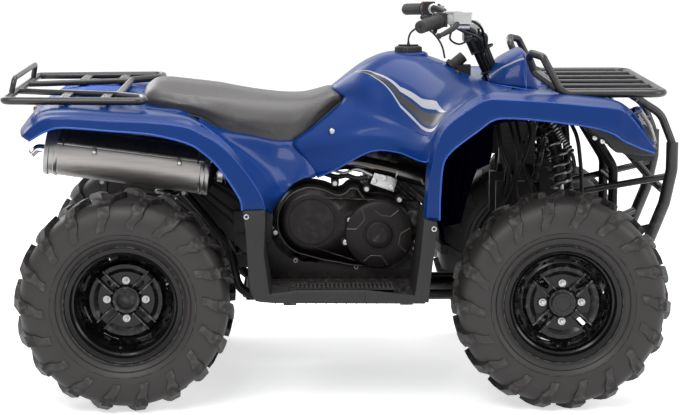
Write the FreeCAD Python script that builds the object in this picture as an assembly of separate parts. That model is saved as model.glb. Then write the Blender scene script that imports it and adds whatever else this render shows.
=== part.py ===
import FreeCAD, Part
import math
import os

# Quad bike. Millimetres, +X forward, +Y left, +Z up.
# The origin is on the ground, on the centre plane, half way along the length.

V = FreeCAD.Vector

# Whole machine
LENGTH = 1964.0
WHEELBASE = 1233.0
FRONT_AXLE_X = 603.0
OVERALL_WIDTH = 1080.0
GROUND_CLEARANCE = 245.0
RUNNING_GAP = 0.3
SEAT_GAP = 0.3

# Tyres, out to the tips of the lugs
TYRE_RADIUS = 310.0
FRONT_TYRE_WIDTH = 205.0
REAR_TYRE_WIDTH = 254.0
TYRE_SIDES = 18
LUGS_PER_SIDE = 18
LUG_HEIGHT = 13.0
LUG_WIDTH = 30.0
LUG_SWEEP = 0.42

# Rims
RIM_FLANGE_RADIUS = 170.0
BEAD_RADIUS = 154.0
WELL_RADIUS = 138.0
RIM_WALL = 4.0
FRONT_RIM_WIDTH = 160.0
REAR_RIM_WIDTH = 200.0
DISC_THICKNESS = 6.0
FRONT_DISC_RECESS = 24.0
REAR_DISC_RECESS = 100.0
HUB_RADIUS = 62.0
HUB_BORE = 31.0
NUT_CIRCLE = 55.0
NUT_RADIUS = 9.0
NUT_HEIGHT = 14.0

# Front steering and suspension
KINGPIN_Y = 375.0
BALL_Z_ABOVE = 88.0
BALL_Z_BELOW = 85.0
BALL_RADIUS = 17.0
BALL_HEIGHT = 30.0
BALL_PIN_RADIUS = 7.0
ARM_RADIUS = 12.0
UPPER_PIVOT_Y = 152.0
LOWER_PIVOT_Y = 158.0
UPPER_PIVOT_X = (-78.0, 82.0)
LOWER_PIVOT_X = (-105.0, 115.0)
PIVOT_RISE = 22.0
PIVOT_HALF = 22.0
SPINDLE_RADIUS = 14.0
KNUCKLE_ARM_BACK = 90.0
KNUCKLE_ARM_IN = 15.0
COLUMN_ANGLE = 25.0
COLUMN_RADIUS = 15.0
BAR_CLAMP_X = 375.0
BAR_CLAMP_Z = 1030.0
COLUMN_FOOT_Z = 405.0
PITMAN_RADIUS = 73.0
PITMAN_PIN_Y = 26.0
TIE_ROD_RADIUS = 8.0
CABLE_RADIUS = 7.0
TUNNEL_RADIUS = 38.0

# Tubes
ENGINE_LOW_Z = 285.0
FRAME_TUBE = 14.0
CROSS_TUBE = 11.0
RAIL_Y = 130.0
UPPER_RAIL_Y = 120.0
NOSE_Y = 100.0
BUMPER_TUBE = 18.0
BUMPER_ARM = 12.0
BUMPER_Y = 160.0
RACK_TUBE = 11.0
RACK_SLAT = 8.0
REAR_RACK_Z = 872.0
REAR_RACK_Y = 370.0
NOTCH_X = -662.0
FRONT_RACK_Z = 886.0
FRONT_RACK_Y = 350.0
BAR_RADIUS = 11.0
GRIP_RADIUS = 17.0

# Body panels
PANEL = 4.0
COVER_SHIFT = 3.2
HOOD_BACK_X = 470.0
HOOD_BACK_Z = 860.0
HOOD_FRONT_X = 760.0
HOOD_FRONT_Z = 838.0
SKIRT_Y = 505.0
SEAT_HALF_WIDTH = 165.0
SEAT_BASE_Z = 824.0

# Footwells
FLOOR_Z = 317.0
FLOOR_DEPTH = 34.0
FLOOR_IN_Y = 235.0
FLOOR_OUT_Y = 520.0

REAR_END = -LENGTH / 2
FRONT_END = LENGTH / 2
REAR_AXLE_X = FRONT_AXLE_X - WHEELBASE
AXLE_Z = TYRE_RADIUS
TYRE_OUTER_Y = OVERALL_WIDTH / 2
FRONT_TYRE_Y = TYRE_OUTER_Y - FRONT_TYRE_WIDTH / 2
REAR_TYRE_Y = TYRE_OUTER_Y - REAR_TYRE_WIDTH / 2
UPPER_BALL_Z = AXLE_Z + BALL_Z_ABOVE
LOWER_BALL_Z = AXLE_Z - BALL_Z_BELOW
COLUMN_LEAN = math.tan(math.radians(COLUMN_ANGLE))


def column_x(z):
    """Where the steering axis passes the height z."""
    return BAR_CLAMP_X + (BAR_CLAMP_Z - z) * COLUMN_LEAN


def hood_z(x):
    """Height of the hood's top along its length."""
    return HOOD_BACK_Z + (x - HOOD_BACK_X) * (HOOD_FRONT_Z - HOOD_BACK_Z) / (HOOD_FRONT_X - HOOD_BACK_X)


def mirror(shape):
    return shape.mirror(V(0, 0, 0), V(0, 1, 0))


def join(pieces):
    """One solid from pieces that run into each other."""
    whole = pieces[0].multiFuse(pieces[1:])
    if len(whole.Solids) != 1:
        raise ValueError("the pieces don't all meet: %d solids" % len(whole.Solids))
    return whole.Solids[0]


def box(low, high):
    size = [b - a for a, b in zip(low, high)]
    return Part.makeBox(size[0], size[1], size[2], V(*low))


def cylinder(start, end, radius):
    axis = V(*end) - V(*start)
    return Part.makeCylinder(radius, axis.Length, V(*start), axis)


def route(points, bend, closed=False):
    """Straight runs joined by tangent arcs of one radius."""
    corners = [V(*p) for p in points]
    if closed:
        start = (corners[0] + corners[-1]) * 0.5
        ends = [start] + corners + [start]
    else:
        ends = corners
    edges = []
    here = ends[0]
    for before, corner, after in zip(ends, ends[1:], ends[2:]):
        back = (before - corner).normalize()
        onward = (after - corner).normalize()
        half_turn = (math.pi - back.getAngle(onward)) / 2
        reach = bend * math.tan(half_turn)
        inward = (back + onward).normalize()
        arc_start = corner + back * reach
        arc_end = corner + onward * reach
        middle = corner + inward * (bend / math.cos(half_turn) - bend)
        edges.append(Part.LineSegment(here, arc_start).toShape())
        edges.append(Part.Arc(arc_start, middle, arc_end).toShape())
        here = arc_end
    edges.append(Part.LineSegment(here, ends[-1]).toShape())
    return edges


def tube(points, radius, bend=60.0, closed=False):
    """A round bar or tube along straight runs and arcs."""
    if len(points) == 2:
        return cylinder(points[0], points[1], radius)
    edges = route(points, bend, closed)
    path = Part.Wire(edges)
    first = edges[0]
    start = first.valueAt(first.FirstParameter)
    tangent = first.tangentAt(first.FirstParameter)
    ring = Part.Wire([Part.makeCircle(radius, start, tangent)])
    return outward(path.makePipeShell([ring], True, False))


def outward(solid):
    """The same solid with its faces looking outwards."""
    return solid.reversed() if solid.Volume < 0 else solid


def plate(outline, thickness, y):
    """A flat plate standing in the XZ plane, from y towards +Y."""
    corners = [V(x, y, z) for x, z in outline]
    face = Part.Face(Part.makePolygon(corners + corners[:1]))
    return face.extrude(V(0, thickness, 0))


def loft(sections, ruled=False):
    """A solid through closed polygons, each a list of points."""
    wires = [Part.makePolygon([V(*p) for p in ring] + [V(*ring[0])]) for ring in sections]
    return outward(Part.makeLoft(wires, True, ruled))


def turned(profile, centre):
    """A solid of revolution about a line along Y; profile points are (y offset, radius)."""
    corners = [V(centre[0], centre[1] + y, centre[2] + r) for y, r in profile]
    face = Part.Face(Part.makePolygon(corners + corners[:1]))
    return face.revolve(V(*centre), V(0, 1, 0), 360)


def export(node, solids):
    whole = solids[0] if len(solids) == 1 else Part.makeCompound(solids)
    whole.exportStep("parts/" + node + ".step")


def tyre_section(width, rim_width):
    """Half section of the carcass from the shoulder to the bead, as (side, radius)."""
    half = width / 2
    crown = TYRE_RADIUS - LUG_HEIGHT
    return [
        (half - 34, crown - 2),
        (half - 6, crown - 30),
        (half, crown - 66),
        (half - 8, crown - 100),
        (rim_width / 2 - RIM_WALL - SEAT_GAP, RIM_FLANGE_RADIUS + 5),
        (rim_width / 2 - RIM_WALL - SEAT_GAP, BEAD_RADIUS + SEAT_GAP),
    ]


def ring_of_flats(section):
    """A closed ring of flat faces round the Y axis through the origin."""
    step = 2 * math.pi / TYRE_SIDES
    inner = 1 / math.cos(step / 2)

    def corner(index, side, radius):
        reach = radius * inner if radius <= BEAD_RADIUS + SEAT_GAP else radius
        angle = (index + 0.5) * step
        return V(reach * math.cos(angle), side, reach * math.sin(angle))

    faces = []
    for index in range(TYRE_SIDES):
        for (s1, r1), (s2, r2) in zip(section, section[1:] + section[:1]):
            quad = [
                corner(index, s1, r1),
                corner(index + 1, s1, r1),
                corner(index + 1, s2, r2),
                corner(index, s2, r2),
            ]
            faces.append(Part.Face(Part.makePolygon(quad + quad[:1])))
    return outward(Part.makeSolid(Part.makeShell(faces)))


def lug(width, side):
    """One swept bar of the tread that turns down over the shoulder, at the top of the wheel."""
    half = width / 2
    crown = TYRE_RADIUS - LUG_HEIGHT
    trailing = (half - 26) * LUG_SWEEP + LUG_WIDTH / 2
    outline = [
        (5.0, TYRE_RADIUS),
        (half - 26, math.sqrt((TYRE_RADIUS - 3) ** 2 - trailing ** 2)),
        (half, crown - 34),
        (half - 24, crown - 40),
        (5.0, crown - 14),
    ]
    rings = []
    for edge in (-LUG_WIDTH / 2, LUG_WIDTH / 2):
        rings.append([(edge - s * LUG_SWEEP, side * s, r) for s, r in outline])
    return loft(rings, ruled=True)


def tyre(width, rim_width):
    half = tyre_section(width, rim_width)
    section = half + [(-s, r) for s, r in reversed(half)]
    carcass = ring_of_flats(section)
    bars = []
    for side in (-1, 1):
        one = lug(width, side)
        for index in range(LUGS_PER_SIDE):
            turn = 360.0 * (index + (0.5 if side > 0 else 0.0)) / LUGS_PER_SIDE
            bar = one.copy()
            bar.rotate(V(0, 0, 0), V(0, 1, 0), 180 + turn)
            bars.append(bar)
    return join([carcass] + bars)


def rim(width, recess, side):
    """A pressed steel rim about the Y axis; side is +1 when its outer face looks to +Y."""
    half = width / 2
    face = half - recess
    barrel = [
        (-half, RIM_FLANGE_RADIUS),
        (-half + RIM_WALL, RIM_FLANGE_RADIUS),
        (-half + RIM_WALL, BEAD_RADIUS),
        (-half + 40, BEAD_RADIUS - 2),
        (-half + 52, WELL_RADIUS),
        (half - 52, WELL_RADIUS),
        (half - 40, BEAD_RADIUS - 2),
        (half - RIM_WALL, BEAD_RADIUS),
        (half - RIM_WALL, RIM_FLANGE_RADIUS),
        (half, RIM_FLANGE_RADIUS),
        (half, BEAD_RADIUS - RIM_WALL),
        (half - 38, BEAD_RADIUS - 2 - RIM_WALL),
        (half - 50, WELL_RADIUS - RIM_WALL),
        (-half + 50, WELL_RADIUS - RIM_WALL),
        (-half + 38, BEAD_RADIUS - 2 - RIM_WALL),
        (-half, BEAD_RADIUS - RIM_WALL),
    ]
    disc_edge = (BEAD_RADIUS if recess < 38 else WELL_RADIUS) - RIM_WALL / 2
    disc = [
        (face - DISC_THICKNESS, disc_edge),
        (face, disc_edge),
        (face - 14, HUB_RADIUS + 46),
        (face, HUB_RADIUS),
        (face, HUB_BORE),
        (face - DISC_THICKNESS, HUB_BORE),
        (face - DISC_THICKNESS, HUB_RADIUS),
        (face - 14 - DISC_THICKNESS, HUB_RADIUS + 46),
    ]
    solid = join([turned(barrel, (0, 0, 0)), turned(disc, (0, 0, 0))])
    windows = []
    for quarter in range(4):
        window = box((-26, face - 40, HUB_RADIUS + 10), (26, face + 20, HUB_RADIUS + 40))
        window.rotate(V(0, 0, 0), V(0, 1, 0), 90 * quarter)
        windows.append(window)
    solid = solid.cut(Part.makeCompound(windows))
    nuts = []
    for quarter in range(4):
        angle = math.radians(90 * quarter)
        x = NUT_CIRCLE * math.cos(angle)
        z = NUT_CIRCLE * math.sin(angle)
        nuts.append(cylinder((x, face - 1, z), (x, face + NUT_HEIGHT, z), NUT_RADIUS))
    solid = join([solid] + nuts)
    return solid if side > 0 else mirror(solid)


def placed(shape, x, y, z):
    moved = shape.copy()
    moved.translate(V(x, y, z))
    return moved


def make_wheels():
    front = tyre(FRONT_TYRE_WIDTH, FRONT_RIM_WIDTH)
    rear = tyre(REAR_TYRE_WIDTH, REAR_RIM_WIDTH)
    hub_face = FRONT_RIM_WIDTH / 2 - FRONT_DISC_RECESS
    hub = turned(
        [
            (hub_face - 46, SPINDLE_RADIUS + RUNNING_GAP),
            (hub_face - 46, HUB_RADIUS - 14),
            (hub_face - DISC_THICKNESS, HUB_RADIUS - 4),
            (hub_face - DISC_THICKNESS, HUB_BORE),
            (hub_face + 12, HUB_BORE - 3),
            (hub_face + 26, HUB_BORE - 9),
            (hub_face + 26, 0.0),
            (hub_face + 10, 0.0),
            (hub_face + 10, SPINDLE_RADIUS + RUNNING_GAP),
        ],
        (0, 0, 0),
    )
    brake_disc = turned(
        [(hub_face - 46, 40.0), (hub_face - 46, 96.0), (hub_face - 42, 96.0), (hub_face - 42, 40.0)],
        (0, 0, 0),
    )
    for side, name in ((1, "left"), (-1, "right")):
        wheel = rim(FRONT_RIM_WIDTH, FRONT_DISC_RECESS, 1)
        wheel = join([wheel, hub, brake_disc])
        if side < 0:
            wheel = mirror(wheel)
        y = side * FRONT_TYRE_Y
        export("front_rim_" + name, [placed(wheel, FRONT_AXLE_X, y, AXLE_Z)])
        tread = front if side > 0 else mirror(front)
        export("front_tyre_" + name, [placed(tread, FRONT_AXLE_X, y, AXLE_Z)])
    right_tyre = mirror(rear)
    export(
        "rear_tyres",
        [
            placed(rear, REAR_AXLE_X, REAR_TYRE_Y, AXLE_Z),
            placed(right_tyre, REAR_AXLE_X, -REAR_TYRE_Y, AXLE_Z),
        ],
    )
    left_rim = rim(REAR_RIM_WIDTH, REAR_DISC_RECESS, 1)
    left_rim = placed(left_rim, REAR_AXLE_X, REAR_TYRE_Y, AXLE_Z)
    export("rear_rims", [left_rim, mirror(left_rim)])


REAR_DISC_Y = REAR_TYRE_Y + REAR_RIM_WIDTH / 2 - REAR_DISC_RECESS
AXLE_RADIUS = 18.0
SWING_X = REAR_AXLE_X + 330
SWING_Z = AXLE_Z + 55
SWING_ARM_Y = 80.0
SWING_HALF = 104.0
HITCH_X = REAR_AXLE_X - 150
HITCH_Z = AXLE_Z + 88


def make_rear_axle():
    back_of_disc = REAR_DISC_Y - DISC_THICKNESS
    shaft = cylinder((REAR_AXLE_X, -REAR_DISC_Y, AXLE_Z), (REAR_AXLE_X, REAR_DISC_Y, AXLE_Z), AXLE_RADIUS)
    hub = cylinder(
        (REAR_AXLE_X, back_of_disc - 60, AXLE_Z), (REAR_AXLE_X, back_of_disc, AXLE_Z), HUB_RADIUS - 6
    )
    nose = cylinder((REAR_AXLE_X, REAR_DISC_Y - 20, AXLE_Z), (REAR_AXLE_X, REAR_DISC_Y + 8, AXLE_Z), HUB_BORE - 2)
    export("rear_axle", [join([shaft, hub, mirror(hub), nose, mirror(nose)])])


def make_swingarm():
    """Two arms from the frame to the axle, with the round gear case on the shaft."""
    bore = cylinder((REAR_AXLE_X, -300, AXLE_Z), (REAR_AXLE_X, 300, AXLE_Z), AXLE_RADIUS + RUNNING_GAP)
    carrier = cylinder((REAR_AXLE_X, -200, AXLE_Z), (REAR_AXLE_X, 200, AXLE_Z), 32.0)
    case = turned([(-55, 0.0), (-55, 60.0), (-30, 92.0), (30, 92.0), (55, 60.0), (55, 0.0)], (REAR_AXLE_X, 20, AXLE_Z))
    y = SWING_ARM_Y
    middle_x = REAR_AXLE_X + 120
    left = tube([(REAR_AXLE_X, y, AXLE_Z), (middle_x, y, AXLE_Z + 8), (SWING_X, y, SWING_Z)], 22.0, 90)
    right = tube([(REAR_AXLE_X, -y, AXLE_Z), (middle_x, -y, AXLE_Z + 8), (SWING_X, -y, SWING_Z)], 20.0, 90)
    cross = cylinder((SWING_X, -SWING_HALF, SWING_Z), (SWING_X, SWING_HALF, SWING_Z), 24.0)
    brace = box((REAR_AXLE_X + 190, -y, AXLE_Z + 8), (REAR_AXLE_X + 230, y, AXLE_Z + 42))
    x, _, z = REAR_SHOCK_FOOT
    lugs = [box((x - 18, -EYE_HALF - 6, AXLE_Z + 40), (x + 18, EYE_HALF + 6, z - 19))]
    for side in (-1, 1):
        inner = side * EYE_HALF
        outer = side * (EYE_HALF + 6)
        lugs.append(box((x - 18, min(inner, outer), AXLE_Z + 40), (x + 18, max(inner, outer), z + 16)))
    ledge = box((REAR_AXLE_X - 100, -10, AXLE_Z + 60), (REAR_AXLE_X - 20, 50, HITCH_Z))
    arm = join([carrier, case, left, right, cross, brace, ledge] + lugs)
    export("swingarm", [arm.cut(bore)])


def coil(start, end, radius, wire, turns):
    """A coil spring between two points, its wire a bar of flat faces."""
    axis = V(*end) - V(*start)
    rings = []
    for step in range(turns * COIL_STEPS + 1):
        angle = 2 * math.pi * step / COIL_STEPS
        ring = []
        for corner in range(6):
            around = 2 * math.pi * corner / 6
            reach = radius + wire * math.cos(around)
            height = axis.Length * step / (turns * COIL_STEPS) + wire * math.sin(around)
            ring.append(V(reach * math.cos(angle), reach * math.sin(angle), height))
        rings.append(ring)
    faces = [Part.Face(Part.makePolygon(ring + ring[:1])) for ring in (rings[0], rings[-1])]
    for near, far in zip(rings, rings[1:]):
        for a, b, c, d in zip(near, near[1:] + near[:1], far[1:] + far[:1], far):
            faces.append(Part.Face(Part.makePolygon([a, b, c, a])))
            faces.append(Part.Face(Part.makePolygon([a, c, d, a])))
    spring = outward(Part.makeSolid(Part.makeShell(faces)))
    turn = FreeCAD.Rotation(V(0, 0, 1), axis)
    spring.Placement = FreeCAD.Placement(V(*start), turn)
    return spring


def shock(top, bottom, spring_radius, wire, turns):
    """A damper with its coil spring between two collars, and an eye at each end."""
    a = V(*top)
    b = V(*bottom)
    along = (b - a).normalize()
    reach = (b - a).Length

    def at(distance):
        p = a + along * distance
        return (p.x, p.y, p.z)

    body = cylinder(at(10), at(reach * 0.55), 19.0)
    shaft = cylinder(at(reach * 0.5), at(reach - 8), 8.0)
    collar_top = cylinder(at(26), at(36), spring_radius + wire)
    collar_low = cylinder(at(reach - 52), at(reach - 42), spring_radius + wire)
    cup = cylinder(at(reach - 44), at(reach - 18), 15.0)
    eyes = []
    for centre in (top, bottom):
        x, y, z = centre
        eyes.append(cylinder((x, y - EYE_HALF, z), (x, y + EYE_HALF, z), 15.0))
    seat = wire * COIL_SEAT
    spring = coil(at(36 + seat), at(reach - 52 - seat), spring_radius, wire, turns)
    return [join([body, shaft, collar_top, collar_low, cup] + eyes), spring]


EYE_HALF = 14.0
COIL_STEPS = 14
COIL_SEAT = 0.88
SHOCK_TOP = (FRONT_AXLE_X, 165.0, 800.0)
SHOCK_FOOT = (FRONT_AXLE_X + 50, 232.0, 452.0)
REAR_SHOCK_TOP = (REAR_AXLE_X + 130, 0.0, 700.0)
REAR_SHOCK_FOOT = (REAR_AXLE_X + 60, 0.0, AXLE_Z + 128)


def make_suspension():
    front = shock(SHOCK_TOP, SHOCK_FOOT, 28.0, 5.5, 7)
    export("front_shocks", front + [mirror(piece) for piece in front])
    export("rear_shock", shock(REAR_SHOCK_TOP, REAR_SHOCK_FOOT, 32.0, 6.5, 6))
    export("upper_arms", wishbones(UPPER_BALL_Z, UPPER_PIVOT_X, UPPER_PIVOT_Y, True))
    export("lower_arms", wishbones(LOWER_BALL_Z, LOWER_PIVOT_X, LOWER_PIVOT_Y, False))


def wishbones(ball_z, offsets, pivot_y, carries_shock):
    """A pair of V-shaped arms; the ball housing at the tip turns on the kingpin line."""
    tip = (FRONT_AXLE_X, KINGPIN_Y, ball_z)
    pivot_z = ball_z + PIVOT_RISE
    housing = cylinder(
        (tip[0], tip[1], ball_z - BALL_HEIGHT / 2), (tip[0], tip[1], ball_z + BALL_HEIGHT / 2), BALL_RADIUS
    )
    pieces = [housing]
    for offset in offsets:
        foot = (FRONT_AXLE_X + offset, pivot_y, pivot_z)
        pieces.append(cylinder(foot, (tip[0] + 0.04 * offset, tip[1] - 4, tip[2]), ARM_RADIUS))
        near = (foot[0] - PIVOT_HALF, foot[1], foot[2])
        far = (foot[0] + PIVOT_HALF, foot[1], foot[2])
        pieces.append(cylinder(near, far, ARM_RADIUS + 5))
    if carries_shock:
        span = (KINGPIN_Y - SHOCK_FOOT[1]) / (KINGPIN_Y - pivot_y)
        seat_z = ball_z + span * (pivot_z - ball_z)
        low_x = FRONT_AXLE_X + offsets[0] * span
        high_x = FRONT_AXLE_X + offsets[1] * span
        pieces.append(cylinder((low_x, SHOCK_FOOT[1], seat_z), (high_x, SHOCK_FOOT[1], seat_z), ARM_RADIUS - 2))
        for gap in (-1, 1):
            side_y = SHOCK_FOOT[1] + gap * (EYE_HALF + 3)
            pieces.append(
                box(
                    (SHOCK_FOOT[0] - 14, side_y - 3, seat_z),
                    (SHOCK_FOOT[0] + 14, side_y + 3, SHOCK_FOOT[2] + 12),
                )
            )
    arm = join(pieces)
    bore = cylinder(
        (tip[0], tip[1], ball_z - BALL_HEIGHT), (tip[0], tip[1], ball_z + BALL_HEIGHT), BALL_PIN_RADIUS + RUNNING_GAP
    )
    arm = arm.cut(bore)
    return [arm, mirror(arm)]


def make_knuckles():
    """Upright post between the two ball joints, with the spindle and the steering arm."""
    top = UPPER_BALL_Z - BALL_HEIGHT / 2 - RUNNING_GAP
    low = LOWER_BALL_Z + BALL_HEIGHT / 2 + RUNNING_GAP
    hub_back = FRONT_TYRE_Y + FRONT_RIM_WIDTH / 2 - FRONT_DISC_RECESS - 46 - RUNNING_GAP
    x = FRONT_AXLE_X
    post = cylinder((x, KINGPIN_Y, low), (x, KINGPIN_Y, top), 20.0)
    pins = [
        cylinder((x, KINGPIN_Y, top - 2), (x, KINGPIN_Y, UPPER_BALL_Z + BALL_HEIGHT / 2 + 6), BALL_PIN_RADIUS),
        cylinder((x, KINGPIN_Y, LOWER_BALL_Z - BALL_HEIGHT / 2 - 6), (x, KINGPIN_Y, low + 2), BALL_PIN_RADIUS),
    ]
    boss = cylinder((x, KINGPIN_Y, AXLE_Z), (x, hub_back, AXLE_Z), 34.0)
    spindle_end = FRONT_TYRE_Y + FRONT_RIM_WIDTH / 2 - FRONT_DISC_RECESS + 10 - RUNNING_GAP
    spindle = cylinder((x, KINGPIN_Y, AXLE_Z), (x, spindle_end, AXLE_Z), SPINDLE_RADIUS)
    arm_end = (x - KNUCKLE_ARM_BACK, KINGPIN_Y - KNUCKLE_ARM_IN, AXLE_Z - 12)
    arm = cylinder((x, KINGPIN_Y, AXLE_Z - 12), arm_end, 11.0)
    eye = cylinder((arm_end[0], arm_end[1], arm_end[2] - 11), (arm_end[0], arm_end[1], arm_end[2] + 11), 15.0)
    caliper_y = FRONT_TYRE_Y + FRONT_RIM_WIDTH / 2 - FRONT_DISC_RECESS - 46
    caliper = box((x + 62, caliper_y - 30, AXLE_Z - 32), (x + 100, caliper_y - 6, AXLE_Z + 32))
    bracket = box((x - 4, caliper_y - 26, AXLE_Z - 14), (x + 66, caliper_y - 12, AXLE_Z + 14))
    knuckle = join([post, boss, spindle, arm, eye, caliper, bracket] + pins)
    export("knuckle_left", [knuckle])
    export("knuckle_right", [mirror(knuckle)])


def pitman_pin(side):
    """Middle of the pin that a tie rod turns on, at the foot of the column."""
    lean = math.radians(COLUMN_ANGLE)
    return (
        column_x(COLUMN_FOOT_Z) - PITMAN_RADIUS * math.cos(lean),
        side * PITMAN_PIN_Y,
        COLUMN_FOOT_Z - PITMAN_RADIUS * math.sin(lean),
    )


def column_point(z, along):
    """A point on the steering axis, moved along it."""
    lean = math.radians(COLUMN_ANGLE)
    return (column_x(z) + along * math.sin(lean), 0.0, z - along * math.cos(lean))


def along_column(point, distance):
    lean = math.radians(COLUMN_ANGLE)
    return (point[0] + distance * math.sin(lean), point[1], point[2] - distance * math.cos(lean))


def make_steering():
    top = (BAR_CLAMP_X, 0.0, BAR_CLAMP_Z)
    column = cylinder(along_column(top, 10), column_point(COLUMN_FOOT_Z, 8), COLUMN_RADIUS)
    head = cylinder(along_column(top, 14), along_column(top, 60), COLUMN_RADIUS + 7)
    saddle = box((BAR_X - 24, -34, BAR_Z - 32), (BAR_X + 24, 34, BAR_Z + 18))
    saddle = saddle.cut(cylinder((BAR_X, -60, BAR_Z), (BAR_X, 60, BAR_Z), BAR_RADIUS + SEAT_GAP))
    arm = box((-PITMAN_RADIUS - 18, -PITMAN_PIN_Y - 18, -6), (20, PITMAN_PIN_Y + 18, 6))
    arm.rotate(V(0, 0, 0), V(0, 1, 0), -COLUMN_ANGLE)
    foot = column_point(COLUMN_FOOT_Z, 0)
    arm.translate(V(*foot))
    pins = []
    for side in (-1, 1):
        pin = pitman_pin(side)
        pins.append(cylinder(along_column(pin, 0), along_column(pin, 28), 6.0))
    export("steering_column", [join([column, head, saddle, arm] + pins)])
    for side, name in ((1, "left"), (-1, "right")):
        pin = pitman_pin(side)
        start = along_column(pin, 9)
        end = along_column(pin, 25)
        eye = cylinder(start, end, 12.0)
        inner = along_column(pin, 17)
        outer = (FRONT_AXLE_X - KNUCKLE_ARM_BACK, side * (KINGPIN_Y - KNUCKLE_ARM_IN), AXLE_Z + 18)
        rod = cylinder(inner, outer, TIE_ROD_RADIUS)
        ball = Part.makeSphere(12.0, V(*outer))
        solid = join([eye, rod, ball])
        solid = solid.cut(cylinder(along_column(pin, -5), along_column(pin, 40), 6.0 + RUNNING_GAP))
        export("tie_rod_" + name, [solid])


BAR_X = BAR_CLAMP_X + 3
BAR_Z = BAR_CLAMP_Z + 12
GRIP_END = (205.0, 402.0, 1080.0)
BAR_BEND = (285.0, 235.0, 1092.0)


def make_handlebar():
    points = [
        GRIP_END,
        BAR_BEND,
        (BAR_X, 105.0, BAR_Z),
        (BAR_X, -105.0, BAR_Z),
        (BAR_BEND[0], -BAR_BEND[1], BAR_BEND[2]),
        (GRIP_END[0], -GRIP_END[1], GRIP_END[2]),
    ]
    bar = tube(points, BAR_RADIUS, 55.0)
    export("handlebar", [bar])
    a = V(*GRIP_END)
    b = V(*BAR_BEND)
    inward = (b - a).normalize()

    def at(distance):
        p = a + inward * distance
        return (p.x, p.y, p.z)

    core = cylinder(at(-30), at(400), BAR_RADIUS + RUNNING_GAP)
    grip = join([cylinder(at(-4), at(118), GRIP_RADIUS), cylinder(at(114), at(120), GRIP_RADIUS + 5)])
    grip = grip.cut(cylinder(at(0), at(400), BAR_RADIUS + RUNNING_GAP))
    export("grips", [grip, mirror(grip)])
    box_left = join(
        [
            cylinder(at(124), at(178), 24.0),
            tube([at(150), (at(150)[0] + 60, at(150)[1] + 10, at(150)[2] - 14), (250, 395, 1052)], 6.0, 20),
        ]
    )
    box_right = mirror(box_left)
    reservoir = join(
        [
            cylinder((at(150)[0] + 34, -at(150)[1], 1096), (at(150)[0] + 34, -at(150)[1], 1114), 22.0),
            cylinder((at(150)[0] + 6, -at(150)[1], 1092), (at(150)[0] + 34, -at(150)[1], 1100), 9.0),
        ]
    )
    export("hand_controls", [box_left.cut(core), join([box_right, reservoir]).cut(mirror(core))])


def make_rear_rack():
    """One closed loop with a notch for the seat's tail, two inner rails and flat straps."""
    z = REAR_RACK_Z
    back = REAR_END + RACK_TUBE
    corners = [(NOTCH_X, 226.0), (-584.0, 300.0), (-570.0, REAR_RACK_Y + 26), (back, REAR_RACK_Y)]
    loop = tube([(x, y, z) for x, y in corners] + [(x, -y, z) for x, y in corners[::-1]], RACK_TUBE, 26.0)
    notch = cylinder((NOTCH_X + 1, -236, z), (NOTCH_X + 1, 236, z), RACK_TUBE - 1)
    rail = cylinder((back, 100.0, z), (NOTCH_X, 206.0, z), RACK_TUBE - 2)
    pieces = [loop, notch, rail, mirror(rail)]
    for side in (-1, 1):
        for x, inner, outer in ((-822.0, 140, REAR_RACK_Y + 2), (-704.0, 180, REAR_RACK_Y + 10)):
            low = min(side * inner, side * outer)
            high = max(side * inner, side * outer)
            pieces.append(box((x, low, z - 3), (x + 28, high, z + 3)))
    pieces.append(
        tube(
            [
                (back + 2, 228.0, z + 2),
                (back + 12, 222.0, z + 50),
                (back + 12, -222.0, z + 50),
                (back + 2, -228.0, z + 2),
            ],
            RACK_TUBE - 3,
            20.0,
        )
    )
    fender = rear_fender()
    for x in (-808.0, -690.0):
        for y in (-230, 230):
            pieces.append(tab_to((x - 12, y - 10, 840), (x + 12, y + 10, z), (x, y, z), fender))
    export("rear_rack", [join(pieces)])


def make_front_rack():
    """A loop whose ends rise behind the deck and bend back down as hooks, with long bars."""
    z = FRONT_RACK_Z
    nose = 905.0
    loop = tube(
        [
            (561.4, FRONT_RACK_Y - 16.2, z + 93.6),
            (610.0, FRONT_RACK_Y, z),
            (nose, FRONT_RACK_Y, z),
            (nose, -FRONT_RACK_Y, z),
            (610.0, -FRONT_RACK_Y, z),
            (561.4, -FRONT_RACK_Y + 16.2, z + 93.6),
        ],
        RACK_TUBE,
        42.0,
    )
    hook = tube(
        [
            (561.4, FRONT_RACK_Y - 16.2, z + 93.6),
            (556.0, FRONT_RACK_Y - 18, z + 104),
            (526.0, FRONT_RACK_Y - 48, z + 112),
            (524.0, FRONT_RACK_Y - 84, z + 96),
            (542.0, FRONT_RACK_Y - 92, z + 52),
            (598.0, FRONT_RACK_Y - 6, z + 14),
        ],
        RACK_TUBE,
        14.0,
    )
    pieces = [loop, hook, mirror(hook)]
    for y in (-264.0, -132.0, 0.0, 132.0, 264.0):
        pieces.append(cylinder((607.0, y, z), (nose, y, z), RACK_SLAT))
    pieces.append(cylinder((624.0, -FRONT_RACK_Y, z - 3), (624.0, FRONT_RACK_Y, z - 3), RACK_SLAT + 1))
    for x in (650.0, 740.0):
        for side in (-1, 1):
            pieces.append(box((x - 12, side * 132 - 7, hood_z(x - 12) + SEAT_GAP), (x + 12, side * 132 + 7, z)))
    export("front_rack", [join(pieces)])


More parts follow.
